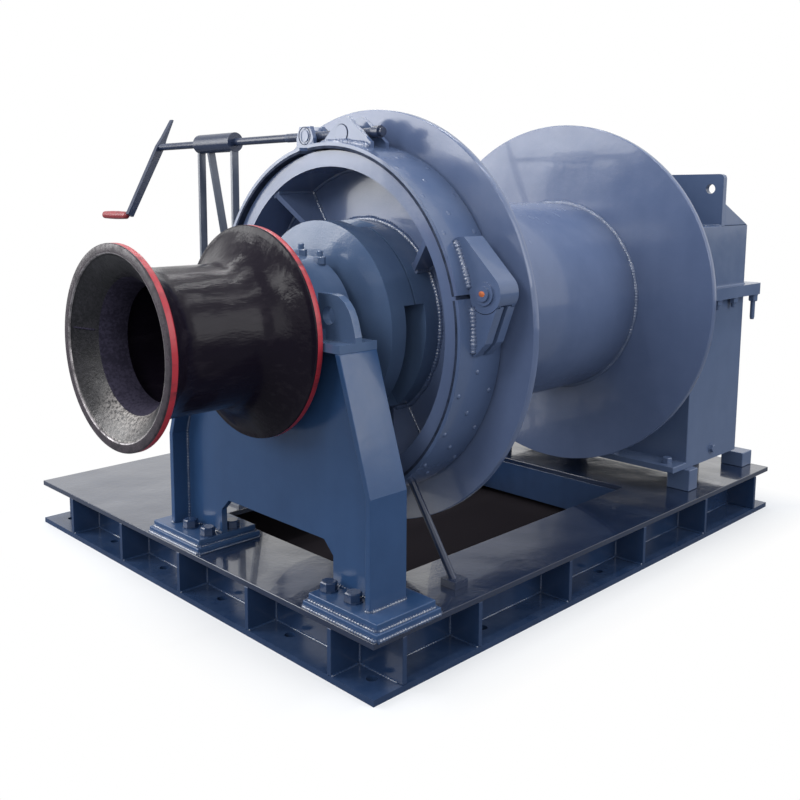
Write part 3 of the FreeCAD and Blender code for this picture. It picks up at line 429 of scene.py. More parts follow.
# The base and pedestal welds take the frame's darker blue: painted shade.
base_weld_paint = finish("base_weld_paint", film, {
    "Paint": (0.028, 0.058, 0.130, 1), "Shade": (0.018, 0.038, 0.092, 1),
    "Dust": 0.0, "Ripple": 0.2, "Peel": 3.0, "Gloss": 0.08}, Specular_IOR_Level=0.75, Coat_Weight=0.6,
    Coat_Roughness=0.03)
weld("base_welds", base_runs, fillet, base_weld_paint, "frame", "base_paint")

# The outer pedestal: a web with an arched foot between two bent side plates, welded to stepped foot
# plates that four bolts a side hold to the base. Its broad plates show the spray's long ripples, and its
# bolts are painted over.

plate_paint = finish("plate_paint", film, {
    "Paint": (0.028, 0.067, 0.158, 1), "Shade": (0.022, 0.054, 0.130, 1),
    "Dust": 0.08, "Ripple": 0.8, "Peel": 0.5, "Gloss": 0.20}, Specular_IOR_Level=0.30, Coat_Weight=0.12,
    Coat_Roughness=0.06)
dress(plate_paint, "pedestal_web", "pedestal_side_plates", "pedestal_pads", "pedestal_foot_plates")
soften(0.004, "pedestal_side_plates", "pedestal_pads", "pedestal_foot_plates")

shaft_low, shaft_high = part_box("main_shaft")
axis_y = (shaft_low.y + shaft_high.y) / 2
axis_z = (shaft_low.z + shaft_high.z) / 2

steel, given, result = new_group("worked_steel", [
    ("Metal", "Color", (0.2, 0.2, 0.2, 1)), ("Stain", "Color", (0.05, 0.04, 0.04, 1)),
    ("Grain", "Float", 0.5), ("Gloss", "Float", 0.35)],
    [("Colour", "Color"), ("Roughness", "Float"), ("Normal", "Vector")])
spot = add_node(steel, "TexCoord").outputs["Object"]
blotch = noise(steel, spot, 38.0, 5.0, 0.6)
speck = noise(steel, spot, 260.0, 3.0)
stain = ramp(steel, combine(steel, "ADD", blotch, combine(steel, "MULTIPLY", speck, 0.25)), 0.52, 0.78)
steel.links.new(blend_colour(steel, stain, given.outputs["Metal"], given.outputs["Stain"]),
                result.inputs["Colour"])
steel.links.new(combine(steel, "ADD", given.outputs["Gloss"], combine(steel, "MULTIPLY", stain, 0.25)),
                result.inputs["Roughness"])
grain_depth = combine(steel, "MULTIPLY", given.outputs["Grain"], 0.0002)
steel.links.new(bump(steel, combine(steel, "MULTIPLY", speck, grain_depth)), result.inputs["Normal"])
bolt_steel = finish("bolt_steel", steel, {
    "Metal": (0.070, 0.085, 0.115, 1), "Stain": (0.028, 0.030, 0.038, 1), "Grain": 0.7, "Gloss": 0.34},
    Metallic=0.45)


def bolt_shape(across, height, washer, stud=0.0, turns=12):
    """A hexagon head on its washer, standing on z = 0. Each ring of points is round or six-sided: a six-sided
    ring's radius is half the width across flats over the cosine of the angle from the nearest flat. A stud
    stands out of a nut by its own length."""
    turn = np.arange(turns) / turns * 2 * np.pi
    flats = across / 2 / np.cos((turn + np.pi / 6) % (np.pi / 3) - np.pi / 6)
    circle = np.ones(turns)
    thick, chamfer_foot, chamfer_top = height * 0.16, height * 0.88, across * 0.47
    rows = [(0 * circle, 0), (washer * circle, 0), (washer * circle, thick), (flats, thick),
            (flats, chamfer_foot), (chamfer_top * circle, height)]
    if stud:
        stud_side, stud_tip, tip_foot = across * 0.29, across * 0.22, height + stud * 0.86
        rows += [(stud_side * circle, height), (stud_side * circle, tip_foot),
                 (stud_tip * circle, height + stud)]
    top = rows[-1][1]
    rows.append((0 * circle, top))
    return np.stack([np.stack([radius * np.cos(turn), radius * np.sin(turn), level + 0 * turn], -1)
                     for radius, level in rows])


def stand_on(shape, facing):
    """A shape that stands up along z, laid so that it stands out along another axis."""
    axis, sign = "xyz".index(facing[-1]), -1 if facing[0] == "-" else 1
    order = {0: (2, 0, 1), 1: (1, 2, 0), 2: (0, 1, 2)}[axis]
    return (shape * (1, 1, sign))[..., order]


def fasteners(name, shape, places, body, slot, material=bolt_steel):
    """One shape repeated at many places, as one mesh."""
    points, faces = join_grids([shape + np.array(place, float) for place in places], round_columns=True)
    return piece(name, points, faces, [material], body, slot, crease=28)


foot_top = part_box("pedestal_foot_plates")[1].z
side_low, side_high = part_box("pedestal_side_plates")
web_face, web_back = (end.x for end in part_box("pedestal_web"))
foot_bolts_ahead, foot_bolts_behind = 0.042, 0.040
foot_bolts_across = (0.317, 0.424)
foot_places = []
for x in (web_face - foot_bolts_ahead, web_back + foot_bolts_behind):
    for across in foot_bolts_across:
        foot_places += [(x, axis_y - across, foot_top), (x, axis_y + across, foot_top)]
foot_bolt = stand_on(bolt_shape(across=0.046, height=0.030, washer=0.029), "+z")
fasteners("pedestal_bolts", foot_bolt, foot_places, "frame", "base_paint", frame_paint)

side_plate = 0.022
half_width, shoulder_half_width, arch_half_width = 0.515, 0.390, 0.290
bend_z, shoulder_z = 0.558, 0.952
foot_fillet = 0.007
pedestal_runs = []
for side in (-1, 1):
    inside = axis_y + side * (half_width - side_plate)
    top = axis_y + side * (shoulder_half_width - side_plate)
    outer = axis_y + side * half_width
    for x in (web_face, web_back):
        pedestal_runs += [straight((x, inside, foot_top), (x, inside, bend_z)),
                          straight((x, inside, bend_z), (x, top, shoulder_z)),
                          straight((x, axis_y + side * arch_half_width, foot_top), (x, inside, foot_top))]
    pedestal_runs.append(straight((side_low.x, outer, foot_top), (side_high.x, outer, foot_top)))
    for x in (side_low.x, side_high.x):
        pedestal_runs.append(straight((x, outer, foot_top), (x, inside, foot_top)))
weld("pedestal_welds", pedestal_runs, foot_fillet, base_weld_paint, "frame", "base_paint")

foot_runs = []
for node, gap in (("pedestal_pads", 0.275), ("pedestal_foot_plates", 0.287)):
    low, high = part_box(node)
    for near, far in ((low.y, axis_y - gap), (axis_y + gap, high.y)):
        foot_runs += [straight((low.x, near, low.z), (low.x, far, low.z)),
                      straight((low.x, near, low.z), (high.x, near, low.z)),
                      straight((low.x, far, low.z), (high.x, far, low.z)),
                      straight((high.x, near, low.z), (high.x, far, low.z))]
weld("foot_welds", foot_runs, foot_fillet, base_weld_paint, "frame", "base_paint")

# The outer bearing: a cast housing and cap with two cut plate eyes, closed by bolted covers, and two
# studs on its crown. The casting keeps a slight sand grain under the paint.

# The bearing's and clutch's copy of the winch's one blue paint is set lighter than the pedestal's: painted
# light.
cast_paint = finish("cast_paint", film, {
    "Paint": (0.076, 0.120, 0.212, 1), "Shade": (0.060, 0.096, 0.178, 1),
    "Dust": 0.12, "Ripple": 1.0, "Peel": 2.0, "Gloss": 0.20}, Specular_IOR_Level=0.38, Coat_Weight=0.38,
    Coat_Roughness=0.04)
dress(cast_paint, "bearing_housing", "bearing_cap", "shaft_covers", "lifting_eyes")

cap_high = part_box("bearing_cap")[1]
cover_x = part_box("shaft_covers")[0].x
bearing_radius = cap_high.z - axis_z


def about_shaft(radius, degrees, x):
    """A point at a radius from the shaft line, at an angle from +Y towards +Z."""
    turn = np.radians(degrees)
    y, z = axis_y + radius * np.cos(turn), axis_z + radius * np.sin(turn)
    return np.stack(np.broadcast_arrays(x, y, z), -1)


def ring_run(x, radius, first=0.0, last=360.0, step=0.004):
    """Points along an arc about the shaft line, a step apart."""
    count = max(4, int(radius * math.radians(last - first) / step))
    return about_shaft(radius, np.linspace(first, last, count), x)


cover_bolt = stand_on(bolt_shape(across=0.024, height=0.015, washer=0.015), "-x")
cover_circle = 0.168
cover_angles = 15 + 45 * np.arange(8)
fasteners("cover_bolts", cover_bolt, about_shaft(cover_circle, cover_angles, cover_x), "frame", "base_paint",
          cast_paint)
stud_sink, stud_setback = 0.004, 0.020
stud_radius, stud_x = bearing_radius - stud_sink, cap_high.x - stud_setback
stud_places = [about_shaft(stud_radius, angle, stud_x) for angle in (90, 114)]
crown_stud = stand_on(bolt_shape(across=0.034, height=0.024, washer=0.020, stud=0.018), "+z")
fasteners("crown_studs", crown_stud, stud_places, "frame", "base_paint", cast_paint)

# The main shaft: bright turned steel, greased and stained, seen only in the gaps between the bearing,
# the clutch and the drum.

shaft_steel = finish("shaft_steel", steel, {
    "Metal": (0.30, 0.30, 0.31, 1), "Stain": (0.09, 0.075, 0.06, 1), "Grain": 0.3, "Gloss": 0.24},
    Metallic=0.9)
dress(shaft_steel, "main_shaft")

# The warping head: one iron casting with two flared rims, keyed on the shaft's end. Its rope face is
# brushed with black enamel and its rims are lined in red. The outer rim's face is dull, and its lip is worn
# bright steel whose colour also paints the highlight along it. Its mouth is left rough as cast, with pale
# speckles on its upward faces as painted light, and its throat is painted near black as painted shade.

enamel, given, result = new_group("brushed_enamel", [
    ("Enamel", "Color", (0.012, 0.011, 0.014, 1)), ("Rub", "Color", (0.05, 0.045, 0.045, 1)),
    ("Wear", "Float", 0.4), ("Ripple", "Float", 0.5), ("Gloss", "Float", 0.2)],
    [("Colour", "Color"), ("Roughness", "Float"), ("Normal", "Vector")])
spot = add_node(enamel, "TexCoord").outputs["Object"]
stroke = noise(enamel, spot, 1.0, 4.0, 0.6, (9.0, 42.0, 42.0))
patch = noise(enamel, spot, 7.0, 5.0, 0.6)
streaks = combine(enamel, "ADD", stroke, combine(enamel, "MULTIPLY", patch, 0.5))
rubbed = combine(enamel, "MULTIPLY", ramp(enamel, streaks, 0.78, 1.02), given.outputs["Wear"])
enamel.links.new(blend_colour(enamel, rubbed, given.outputs["Enamel"], given.outputs["Rub"]),
                 result.inputs["Colour"])
enamel.links.new(combine(enamel, "ADD", given.outputs["Gloss"], ramp(enamel, stroke, 0.3, 0.7, 0.0, 0.12)),
                 result.inputs["Roughness"])
stroke_height, dent_height = 0.0016, 0.010
brushed = combine(enamel, "ADD", combine(enamel, "MULTIPLY", stroke, stroke_height),
                  combine(enamel, "MULTIPLY", noise(enamel, spot, 5.0, 2.0), dent_height))
enamel.links.new(bump(enamel, combine(enamel, "MULTIPLY", brushed, given.outputs["Ripple"])),
                 result.inputs["Normal"])
head_enamel = finish("head_enamel", enamel, {
    "Enamel": (0.008, 0.006, 0.011, 1), "Rub": (0.022, 0.018, 0.024, 1), "Wear": 0.5, "Ripple": 1.1,
    "Gloss": 0.14}, Specular_IOR_Level=0.11)
rim_red = finish("rim_red", enamel, {
    "Enamel": (0.36, 0.028, 0.040, 1), "Rub": (0.10, 0.02, 0.028, 1), "Wear": 0.9, "Ripple": 0.6,
    "Gloss": 0.26}, Specular_IOR_Level=0.3)

iron, given, result = new_group("cast_skin", [
    ("Coat", "Color", (0.10, 0.10, 0.10, 1)), ("Pit", "Color", (0.02, 0.02, 0.022, 1)),
    ("Painted_light", "Color", (0.3, 0.28, 0.25, 1)),
    ("Relief", "Float", 1.0), ("Gloss", "Float", 0.45)],
    [("Colour", "Color"), ("Roughness", "Float"), ("Normal", "Vector")])
spot = add_node(iron, "TexCoord").outputs["Object"]
sand = noise(iron, spot, 115.0, 5.0, 0.65)
lump = noise(iron, spot, 16.0, 4.0, 0.6)
pits = ramp(iron, combine(iron, "ADD", sand, combine(iron, "MULTIPLY", lump, 0.6)), 0.72, 0.92)
skin = blend_colour(iron, pits, given.outputs["Pit"], given.outputs["Coat"])
upward = add_node(iron, "SeparateXYZ")
iron.links.new(add_node(iron, "NewGeometry").outputs["Normal"], upward.inputs[0])
# Upward faces take pale speckles: painted light where light falls into the mouth.
painted_light_share = combine(iron, "MULTIPLY", ramp(iron, upward.outputs["Z"], 0.45, 0.90), ramp(iron, sand, 0.40, 0.60))
iron.links.new(blend_colour(iron, painted_light_share, skin, given.outputs["Painted_light"]), result.inputs["Colour"])
iron.links.new(combine(iron, "ADD", given.outputs["Gloss"], ramp(iron, sand, 0.3, 0.7, -0.08, 0.12)),
               result.inputs["Roughness"])
sand_height, lump_height = 0.0012, 0.006
rough = combine(iron, "ADD", combine(iron, "MULTIPLY", sand, sand_height),
                combine(iron, "MULTIPLY", lump, lump_height))
iron.links.new(bump(iron, combine(iron, "MULTIPLY", rough, given.outputs["Relief"])), result.inputs["Normal"])
mouth_iron = finish("mouth_iron", iron, {
    "Coat": (0.017, 0.016, 0.020, 1), "Pit": (0.008, 0.008, 0.010, 1), "Painted_light": (0.50, 0.46, 0.43, 1),
    "Relief": 0.7, "Gloss": 0.34}, Specular_IOR_Level=0.28)
# The throat is painted near black: painted shade deep in the bore.
throat_painted_shade = finish("throat_painted_shade", iron, {
    "Coat": (0.036, 0.032, 0.052, 1), "Pit": (0.020, 0.018, 0.030, 1), "Painted_light": (0.036, 0.032, 0.050, 1),
    "Relief": 0.5, "Gloss": 0.6}, Specular_IOR_Level=0.03)
rim_face = finish("rim_face", steel, {
    "Metal": (0.046, 0.036, 0.044, 1), "Stain": (0.016, 0.013, 0.018, 1), "Grain": 1.5, "Gloss": 0.26},
    Specular_IOR_Level=0.25)
# The lip's bright worn steel colour also paints the highlight along the lip.
lip_wear_and_highlight = finish("lip_wear_and_highlight", steel, {
    "Metal": (0.30, 0.28, 0.29, 1), "Stain": (0.05, 0.045, 0.05, 1), "Grain": 0.8, "Gloss": 0.30},
    Metallic=0.6)

head_low, head_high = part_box("warping_head")
head_length = head_high.x - head_low.x
inner_rim = (head_high.z - head_low.z) / 2
outer_rim, waist, mouth, bore = 0.292, 0.218, 0.262, 0.172
rim_width, rim_step, rim_round = 0.026, 0.012, 0.005
throat_depth = 0.060
flare_length = 0.27 * head_length
web_x = -1.400
hub_x = -1.360


def flare(start, reach, low, high, count=26):
    """A flared rim's line: from a high radius at its start it falls to the low one over its reach, as the
    distance left to run to the power two and a half."""
    share = np.linspace(0, 1, count)
    return np.stack([start + reach * share, low + (high - low) * (1 - share) ** 2.5], -1)


def corner(x, radius, turn, size=rim_round, count=5):
    """A rounded corner of a turned line: a quarter of a circle that ends a quarter turn on from its start."""
    angle = np.radians(turn + np.linspace(0, 90, count))
    return np.stack([x + size * np.cos(angle), radius + size * np.sin(angle)], -1)


front_x = head_low.x
back_x = head_high.x
shaft_radius = shaft_high.z - axis_z
bore_line = np.array([[hub_x, shaft_radius], [web_x, shaft_radius], [web_x, bore]])
mouth_start = front_x + rim_round
mouth_line = flare(mouth_start, flare_length + rim_width / 2 - rim_round, bore, mouth, 40)[::-1]
in_mouth = mouth_line[:, 0] <= front_x + throat_depth
head_coats = [head_enamel, mouth_iron, rim_red, lip_wear_and_highlight, throat_painted_shade, rim_face]
lines = [
    (mouth_line[~in_mouth], throat_painted_shade),
    (mouth_line[in_mouth], mouth_iron),
    (corner(front_x + rim_round, mouth + rim_round, 180)[::-1], lip_wear_and_highlight),
    (corner(front_x + rim_round, outer_rim - rim_round, 90)[::-1], rim_face),
    (corner(front_x + rim_width - rim_round, outer_rim - rim_round, 0)[::-1], rim_red),
    (flare(front_x + rim_width, flare_length, waist, outer_rim - rim_round), head_enamel),
    (flare(back_x - rim_width, -flare_length, waist, inner_rim - rim_step)[::-1], head_enamel),
    (corner(back_x - rim_width + rim_round, inner_rim - rim_round, 90)[::-1], head_enamel),
    (corner(back_x - rim_round, inner_rim - rim_round, 0)[::-1], rim_red),
    (np.array([[back_x, waist], [hub_x, bore], [hub_x, shaft_radius]]), head_enamel),
    (bore_line[1:], throat_painted_shade),
]
profile = np.concatenate([line for line, coating in lines])
profile_picks = np.concatenate([np.full(len(line), head_coats.index(coating)) for line, coating in lines])
head_turns = 144


def turned_grid(line, count):
    """A line of places along X and radii, carried once round the shaft line."""
    turn = np.arange(count) / count * 360
    return about_shaft(line[:, None, 1], turn[None, :], line[:, None, 0])


head_points = turned_grid(profile, head_turns)
head_faces = grid_faces(len(profile), head_turns, round_columns=True)
head_skin = piece("warping_head_casting", head_points, head_faces, head_coats, "shaft_line", "head_black",
                  np.repeat(profile_picks[1:], head_turns), crease=50)
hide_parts("warping_head")

# The mouth's parting seam is a thin ridge in the throat's near black, so the dark line along it is a seam and
# painted shade.
seam_turn, seam_size = 8.0, 0.003
seam_line = mouth_line[in_mouth][1:-1]
weld("mouth_seam", [about_shaft(seam_line[:, 1], seam_turn, seam_line[:, 0])], seam_size, throat_painted_shade,
     "shaft_line", "head_black")

# The end plate deep in the bore and its bolts take the same near black: painted shade.
dress(throat_painted_shade, "shaft_end_plate")
end_plate_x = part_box("shaft_end_plate")[0].x
end_plate_circle, end_plate_angles = 0.066, 60 * np.arange(6)
fasteners("end_plate_bolts", cover_bolt, about_shaft(end_plate_circle, end_plate_angles, end_plate_x),
          "shaft_line", "head_black", throat_painted_shade)

# The dog clutch: a cast disc with three jaws that slides on the shaft and meets three like jaws on the
# drum's hub. Both are cast, turned on their rims and painted with the rest.

dress(cast_paint, "clutch_hub", "drum_hub_near", "drum_hub_far")

# The drum: a rolled barrel between two flanges cut from plate, with fillet welds all round. The flanges
# show broad, slow ripples where the gloss mirrors the sky.

# The drum's copy of the winch's one blue paint is set lighter than the pedestal's: painted light where the
# lamps reach it less.
drum_paint = finish("drum_paint", film, {
    "Paint": (0.098, 0.132, 0.230, 1), "Shade": (0.080, 0.110, 0.198, 1),
    "Dust": 0.08, "Ripple": 1.0, "Peel": 0.6, "Gloss": 0.22}, Specular_IOR_Level=0.38, Coat_Weight=0.22,
    Coat_Roughness=0.04)
dress(drum_paint, "drum_barrel", "drum_flanges")
soften(0.0025, "drum_flanges")
flange_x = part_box("drum_flanges")[0].x
barrel_low, barrel_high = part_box("drum_barrel")
barrel_radius = (barrel_high.y - barrel_low.y) / 2
hub_low, hub_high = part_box("clutch_hub")
hub_radius = (hub_high.y - hub_low.y) / 2
drum_fillet = 0.011
# The drum, wheel and lug welds take the drum's lighter blue: painted light.
weld_paint = finish("weld_paint", film, {
    "Paint": (0.090, 0.124, 0.216, 1), "Shade": (0.070, 0.100, 0.184, 1),
    "Dust": 0.0, "Ripple": 0.2, "Peel": 3.0, "Gloss": 0.08}, Specular_IOR_Level=0.75, Coat_Weight=0.6,
    Coat_Roughness=0.03)
weld("drum_welds", [ring_run(barrel_low.x, barrel_radius), ring_run(barrel_high.x, barrel_radius),
                    ring_run(flange_x, hub_radius)], drum_fillet, weld_paint, "drum", "drum_paint")

# The brake wheel: a rolled rim welded to the near flange and stayed to the hub by four ribs. It is
# sprayed with the drum, and its welds with it.

dress(drum_paint, "brake_wheel", "brake_wheel_ribs")
wheel_low, wheel_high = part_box("brake_wheel")
wheel_radius = (wheel_high.y - wheel_low.y) / 2
wheel_wall = 0.052
wheel_inside = wheel_radius - wheel_wall
rib_half, first_rib = 0.010, 56
rib_hub_x, rib_rim_x = -0.760, wheel_low.x + 0.006
wheel_fillet, rim_fillet = 0.009, 0.007
wheel_runs = [ring_run(wheel_high.x, wheel_inside)]
for rib in range(4):
    angle = first_rib + 90 * rib
    for side in (-1, 1):
        hub_turn = angle + side * math.degrees(rib_half / hub_radius)
        rim_turn = angle + side * math.degrees(rib_half / wheel_inside)
        hub_end = about_shaft(hub_radius, hub_turn, wheel_high.x)
        rim_end = about_shaft(wheel_inside, rim_turn, wheel_high.x)
        wheel_runs += [straight(about_shaft(hub_radius, hub_turn, rib_hub_x), hub_end),
                       straight(about_shaft(wheel_inside, rim_turn, rib_rim_x), rim_end),
                       straight(hub_end, rim_end)]
weld("wheel_welds", wheel_runs, wheel_fillet, weld_paint, "drum", "drum_paint")
weld("rim_weld", [ring_run(wheel_high.x, wheel_radius)], rim_fillet, drum_paint, "drum", "drum_paint")

# The band brake: two steel half bands lined with woven friction strip, hinged at one side and drawn
# together by a screw at the top. Rows of rivets hold the lining, and an orange primer shows in one spot.

# The band's copy of the winch's one blue paint is set lighter than the pedestal's: painted light.
band_paint = finish("band_paint", film, {
    "Paint": (0.076, 0.110, 0.200, 1), "Shade": (0.062, 0.092, 0.172, 1),
    "Dust": 0.08, "Ripple": 0.8, "Peel": 0.7, "Gloss": 0.20}, Specular_IOR_Level=0.38, Coat_Weight=0.28,
    Coat_Roughness=0.04)
lining_fibre = finish("lining_fibre", steel, {
    "Metal": (0.026, 0.036, 0.066, 1), "Stain": (0.014, 0.020, 0.038, 1), "Grain": 2.2, "Gloss": 0.62},
    Specular_IOR_Level=0.12)
dress(band_paint, "brake_bands", "band_hinge_lugs", "band_hinge_pin", "band_screw_lugs", "screw_trunnions")
dress(lining_fibre, "brake_linings")
band_low, band_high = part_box("brake_bands")
band_radius = (band_high.y - band_low.y) / 2


def dome(radius, height, rows=4, turns=10):
    """A rivet's round head on z = 0: rings whose radius is the cosine, and whose level the sine, of one
    angle."""
    rise = np.concatenate([[0], np.linspace(0, np.pi / 2, rows)])
    reach = radius * np.cos(rise)
    reach[0] = 0
    turn = np.arange(turns) / turns * 2 * np.pi
    return np.stack([reach[:, None] * np.cos(turn), reach[:, None] * np.sin(turn),
                     np.broadcast_to((height * np.sin(rise))[:, None], (len(rise), turns))], -1)


def on_rim(shape, radius, degrees, x):
    """A shape that stands up along z, stood on a cylinder about the shaft line, at an angle and a place
    along the line."""
    turn = np.radians(degrees)
    out = np.array([0, np.cos(turn), np.sin(turn)])
    side = np.array([0, -np.sin(turn), np.cos(turn)])
    return (about_shaft(radius, degrees, x) + shape[..., 0:1] * np.array([1, 0, 0]) + shape[..., 1:2] * side
            + shape[..., 2:3] * out)


# A row of rivets is a place along the shaft and a first angle, in degrees. It runs from the hinge under the
# wheel and up to the far lug, but for the strut, and with flat heads from the hinge up to the near lug.
rivet = dome(radius=0.0085, height=0.0045)
flat_rivet = dome(radius=0.0085, height=0.0012)
rivet_rows = ((-0.865, 196.1), (-0.800, 189.5), (-0.727, 196.1))
rivet_pitch = 13.2
hinge_gap = 48
far_screw_lug, near_screw_lug = 432, 108
strut_from, strut_to = 232, 243
rivets = []
for x, first in rivet_rows:
    for angle in np.arange(first, far_screw_lug, rivet_pitch):
        if not strut_from < angle < strut_to:
            rivets.append(on_rim(rivet, band_radius, angle, x))
    for angle in np.arange(first - hinge_gap, near_screw_lug, -rivet_pitch):
        rivets.append(on_rim(flat_rivet, band_radius, angle, x))
piece("band_rivets", *join_grids(rivets, round_columns=True), [band_paint], "frame", "drum_paint", crease=40)

lug_low, lug_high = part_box("band_hinge_lugs")
screw_lug_low, screw_lug_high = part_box("band_screw_lugs")
upper_hinge_lug, lower_hinge_lug = (150.5, 165.5), (170.0, 184)
near_screw_foot, far_screw_foot = (83, 105.3), (69.4, 77.2)
far_lug_step, lug_fillet = 0.008, 0.012
lug_runs = []
for x in (lug_low.x, lug_high.x):
    lug_runs += [ring_run(x, band_radius, *upper_hinge_lug), ring_run(x, band_radius, *lower_hinge_lug)]
for x, inward in ((screw_lug_low.x, far_lug_step), (screw_lug_high.x, -far_lug_step)):
    lug_runs += [ring_run(x, band_radius, *near_screw_foot),
                 ring_run(x + inward, band_radius, *far_screw_foot)]
weld("lug_welds", lug_runs, lug_fillet, weld_paint, "frame", "drum_paint")

# Round each trunnion's end, on both lug faces, a thin dark ring stands just proud: painted shade for the
# crevice round the trunnion, in the lining's colour.
trunnion_low, trunnion_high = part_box("screw_trunnions")
trunnion_radius = (trunnion_high.z - trunnion_low.z) / 2
shade_ring_inside, shade_ring_outside = trunnion_radius + 0.0002, trunnion_radius + 0.0022
shade_ring_foot, shade_ring_top = -0.001, 0.0012
shade_ring_turn = np.arange(40) / 40 * 2 * np.pi
shade_ring_rows = np.array([[shade_ring_inside, shade_ring_foot], [shade_ring_inside, shade_ring_top],
                        [shade_ring_outside, shade_ring_top], [shade_ring_outside, shade_ring_foot]])
shade_ring = np.stack([shade_ring_rows[:, :1] * np.cos(shade_ring_turn), shade_ring_rows[:, :1] * np.sin(shade_ring_turn),
                   shade_ring_rows[:, 1:] + 0 * shade_ring_turn], -1)
shade_ring_places = []
for y in (trunnion_low.y + trunnion_radius, trunnion_high.y - trunnion_radius):
    for x, way in ((screw_lug_low.x, "-x"), (screw_lug_high.x, "+x")):
        shade_ring_places.append(stand_on(shade_ring, way) + np.array((x, y, trunnion_low.z + trunnion_radius)))
piece("trunnion_shade_rings", *join_grids(shade_ring_places, round_rows=True, round_columns=True), [lining_fibre],
      "frame", "drum_paint")

pin_low, pin_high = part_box("band_hinge_pin")
pin_place = (pin_low + pin_high) / 2
primer = finish("primer", steel, {
    "Metal": (0.62, 0.16, 0.035, 1), "Stain": (0.30, 0.07, 0.02, 1), "Grain": 0.8, "Gloss": 0.45})
oval = (1.0, 0.8, 1.0)
bare_spot = stand_on(dome(radius=0.011, height=0.002, rows=3, turns=12) * oval, "-x")
bare_spot = bare_spot + np.array((pin_low.x, pin_place.y, pin_place.z))
piece("primer_spot", *join_grids([bare_spot], round_columns=True), [primer], "frame", "drum_paint")

# The brake screw: a threaded spindle through the two trunnions, turned by a cranked handle with a red
# grip, and carried by a sleeve on a three-legged stand of flat bar.

rod_paint = finish("rod_paint", film, {
    "Paint": (0.024, 0.036, 0.074, 1), "Shade": (0.015, 0.022, 0.046, 1),
    "Dust": 0.05, "Ripple": 0.2, "Peel": 1.2, "Gloss": 0.24}, Specular_IOR_Level=0.35)
dress(rod_paint, "brake_spindle", "crank_arm", "spindle_sleeve", "band_strut")
stand_paint = finish("stand_paint", film, {
    "Paint": (0.120, 0.135, 0.170, 1), "Shade": (0.060, 0.072, 0.100, 1),
    "Dust": 0.1, "Ripple": 0.3, "Peel": 1.2, "Gloss": 0.3})
dress(stand_paint, "stand_legs", "stand_feet")
grip_low, grip_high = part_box("crank_grip")
grip_red = finish("grip_red", enamel, {
    "Enamel": (0.22, 0.020, 0.026, 1), "Rub": (0.08, 0.012, 0.016, 1), "Wear": 0.9, "Ripple": 0.5,
    "Gloss": 0.30})
grip_radius = (grip_high.x - grip_low.x) / 2
grip_x = (grip_high.x + grip_low.x) / 2
grip_z = (grip_high.z + grip_low.z) / 2
grip_rings, grip_turns = 30, 28
# The grip's radius grows from 0.86 of the whole to the whole at its middle, as half a sine wave does. The
# root of five times that wave, held at 1, closes its two ends.
share = np.linspace(0, 1, grip_rings)
bulge = np.sin(share * np.pi)
grip_line = grip_radius * (0.86 + 0.14 * bulge) * (bulge * 5).clip(0, 1) ** 0.5
turn = np.arange(grip_turns) / grip_turns * 2 * np.pi
grip_points = np.stack(np.broadcast_arrays(
    grip_x + grip_line[:, None] * np.cos(turn), grip_low.y + (grip_high.y - grip_low.y) * share[:, None],
    grip_z + grip_line[:, None] * np.sin(turn)), -1)
grip = piece("handle_grip", grip_points, grid_faces(grip_rings, grip_turns, round_columns=True), [grip_red],
             "brake_screw", "grip_red", crease=60)
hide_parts("crank_grip")

screw_low, screw_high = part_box("brake_spindle")
screw_x = (screw_low.x + screw_high.x) / 2
screw_z = (screw_low.z + screw_high.z) / 2
thread_pitch, thread_core, thread_depth = 0.008, 0.0128, 0.0026
smooth_end, thread_end = 0.04, -0.12
thread_start = screw_low.y + smooth_end
rings_a_pitch, thread_turns = 4, 20
rows = int((thread_end - thread_start) / thread_pitch * rings_a_pitch)
# The thread's ridge is a cosine wave, one pitch long, that moves on by a pitch in each turn round.
along = np.linspace(thread_start, thread_end, rows)[:, None]
turn = (np.arange(thread_turns) / thread_turns * 2 * np.pi)[None, :]
ridge = 0.5 + 0.5 * np.cos(2 * np.pi * along / thread_pitch + turn)
thread_radius = thread_core + thread_depth * ridge
thread_radius[[0, -1]] = 0
thread_points = np.stack(np.broadcast_arrays(screw_x + thread_radius * np.cos(turn), along,
                                             screw_z + thread_radius * np.sin(turn)), -1)
screw_steel = finish("screw_steel", steel, {
    "Metal": (0.062, 0.080, 0.130, 1), "Stain": (0.034, 0.042, 0.070, 1), "Grain": 0.4, "Gloss": 0.30})
piece("spindle_thread", thread_points, grid_faces(rows, thread_turns, round_columns=True), [screw_steel],
      "brake_screw", "shaft_steel", crease=60)

# The gearbox: a two-part case of heavy plate, welded to feet on the base, with a lifting plate along its
# crown and the hydraulic motor on its outer end. Studs hang below its split flange, each with its nut.

# The gearbox's copy of the winch's one blue paint is set lighter than the pedestal's: painted light.
case_paint = finish("case_paint", film, {
    "Paint": (0.086, 0.122, 0.212, 1), "Shade": (0.070, 0.102, 0.184, 1),
    "Dust": 0.08, "Ripple": 0.9, "Peel": 0.6, "Gloss": 0.20}, Specular_IOR_Level=0.38, Coat_Weight=0.15,
    Coat_Roughness=0.06)
dress(case_paint, "gearbox_lower_case", "gearbox_upper_case", "gearbox_split_flange", "lifting_plate",
      "lifting_gussets", "gearbox_feet", "hydraulic_motor")
soften(0.004, "gearbox_lower_case", "gearbox_upper_case", "gearbox_feet", "lifting_gussets")
case_low, case_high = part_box("gearbox_upper_case")
lower_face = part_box("gearbox_lower_case")[0].y
split_low, split_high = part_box("gearbox_split_flange")


def from_case_ends(*steps):
    """Places across the case, each step in from one end, and then the same from the other end."""
    return [case_low.y + step for step in steps] + [case_high.y - step for step in reversed(steps)]


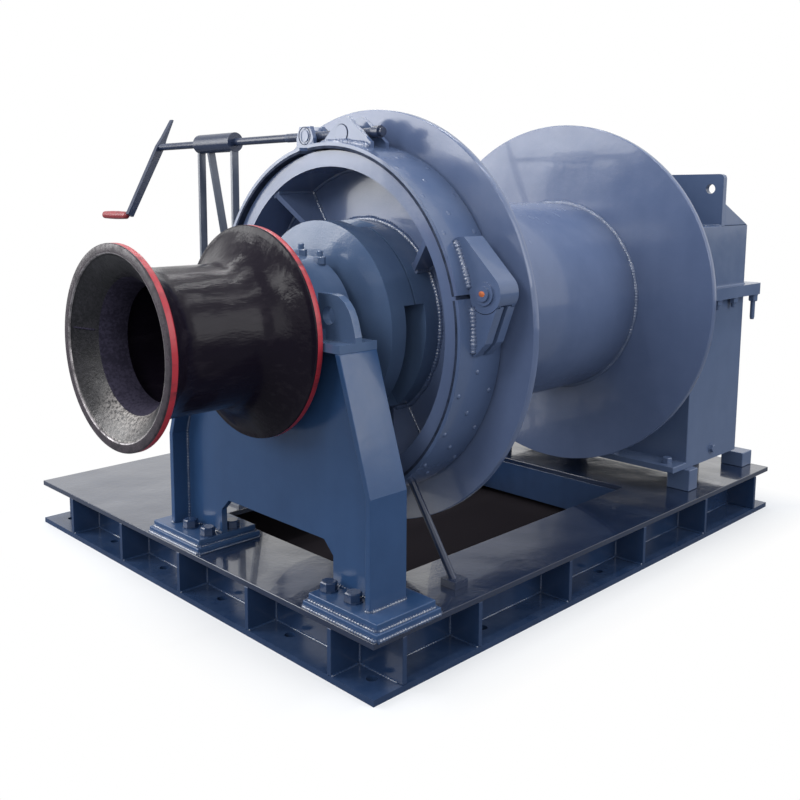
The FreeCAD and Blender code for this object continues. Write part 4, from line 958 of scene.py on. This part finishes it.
rim_middle = (case_low.y - split_low.y) / 2
rim_sides = (case_low.y - rim_middle, case_high.y + rim_middle)
rim_ends = (split_high.x - 0.050, split_low.x + 0.018)
side_nuts = (0.690, 0.817, 0.960)
nut_places = [(x, y, split_low.z) for x in side_nuts for y in rim_sides]
nut_places += [(x, y, split_low.z) for y in from_case_ends(0.08, 0.22) for x in rim_ends]
case_nut = stand_on(bolt_shape(across=0.030, height=0.024, washer=0.0175, stud=0.018), "-z")
fasteners("case_nuts", case_nut, nut_places, "frame", "case_paint", case_paint)
corner_nut = stand_on(bolt_shape(across=0.034, height=0.030, washer=0.020, stud=0.080), "-z")
corner_places = [(rim_ends[0], y, split_low.z) for y in rim_sides]
fasteners("corner_studs", corner_nut, corner_places, "frame", "case_paint", case_paint)
plug_bolt = stand_on(bolt_shape(across=0.030, height=0.014, washer=0.024, turns=24), "-y")
plug_x, plug_z = 0.864, 0.323
fasteners("drain_plug", plug_bolt, [(plug_x, lower_face, plug_z)], "frame", "case_paint", case_paint)
ear_x, ear_top = 0.597, 0.300
ear_bolt = stand_on(bolt_shape(across=0.036, height=0.024, washer=0.022), "+z")
ear_places = [(ear_x, y, ear_top) for y in from_case_ends(0.055, 0.30)]
fasteners("ear_bolts", ear_bolt, ear_places, "frame", "case_paint", case_paint)

lift_low, lift_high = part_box("lifting_plate")
boss_half_width, case_fillet = 0.21, 0.006
case_runs = []
for x in (lift_low.x, lift_high.x):
    case_runs.append(straight((x, lift_low.y, lift_low.z), (x, lift_high.y, lift_low.z)))
for y in (case_low.y, case_high.y):
    for z in (split_high.z, split_low.z):
        case_runs.append(straight((case_low.x, y, z), (case_high.x, y, z)))
for x in (case_low.x, case_high.x):
    case_runs.append(straight((x, case_low.y, split_high.z), (x, axis_y - boss_half_width, split_high.z)))
    case_runs.append(straight((x, axis_y + boss_half_width, split_high.z), (x, case_high.y, split_high.z)))
weld("case_welds", case_runs, case_fillet, case_paint, "frame", "case_paint")

motor_flange = 0.026
motor_circle, motor_angles = 0.168, 22.5 + 45 * np.arange(8)
motor_bolt = stand_on(bolt_shape(across=0.024, height=0.016, washer=0.015), "+x")
fasteners("motor_bolts", motor_bolt, about_shaft(motor_circle, motor_angles, case_high.x + motor_flange),
          "frame", "case_paint")
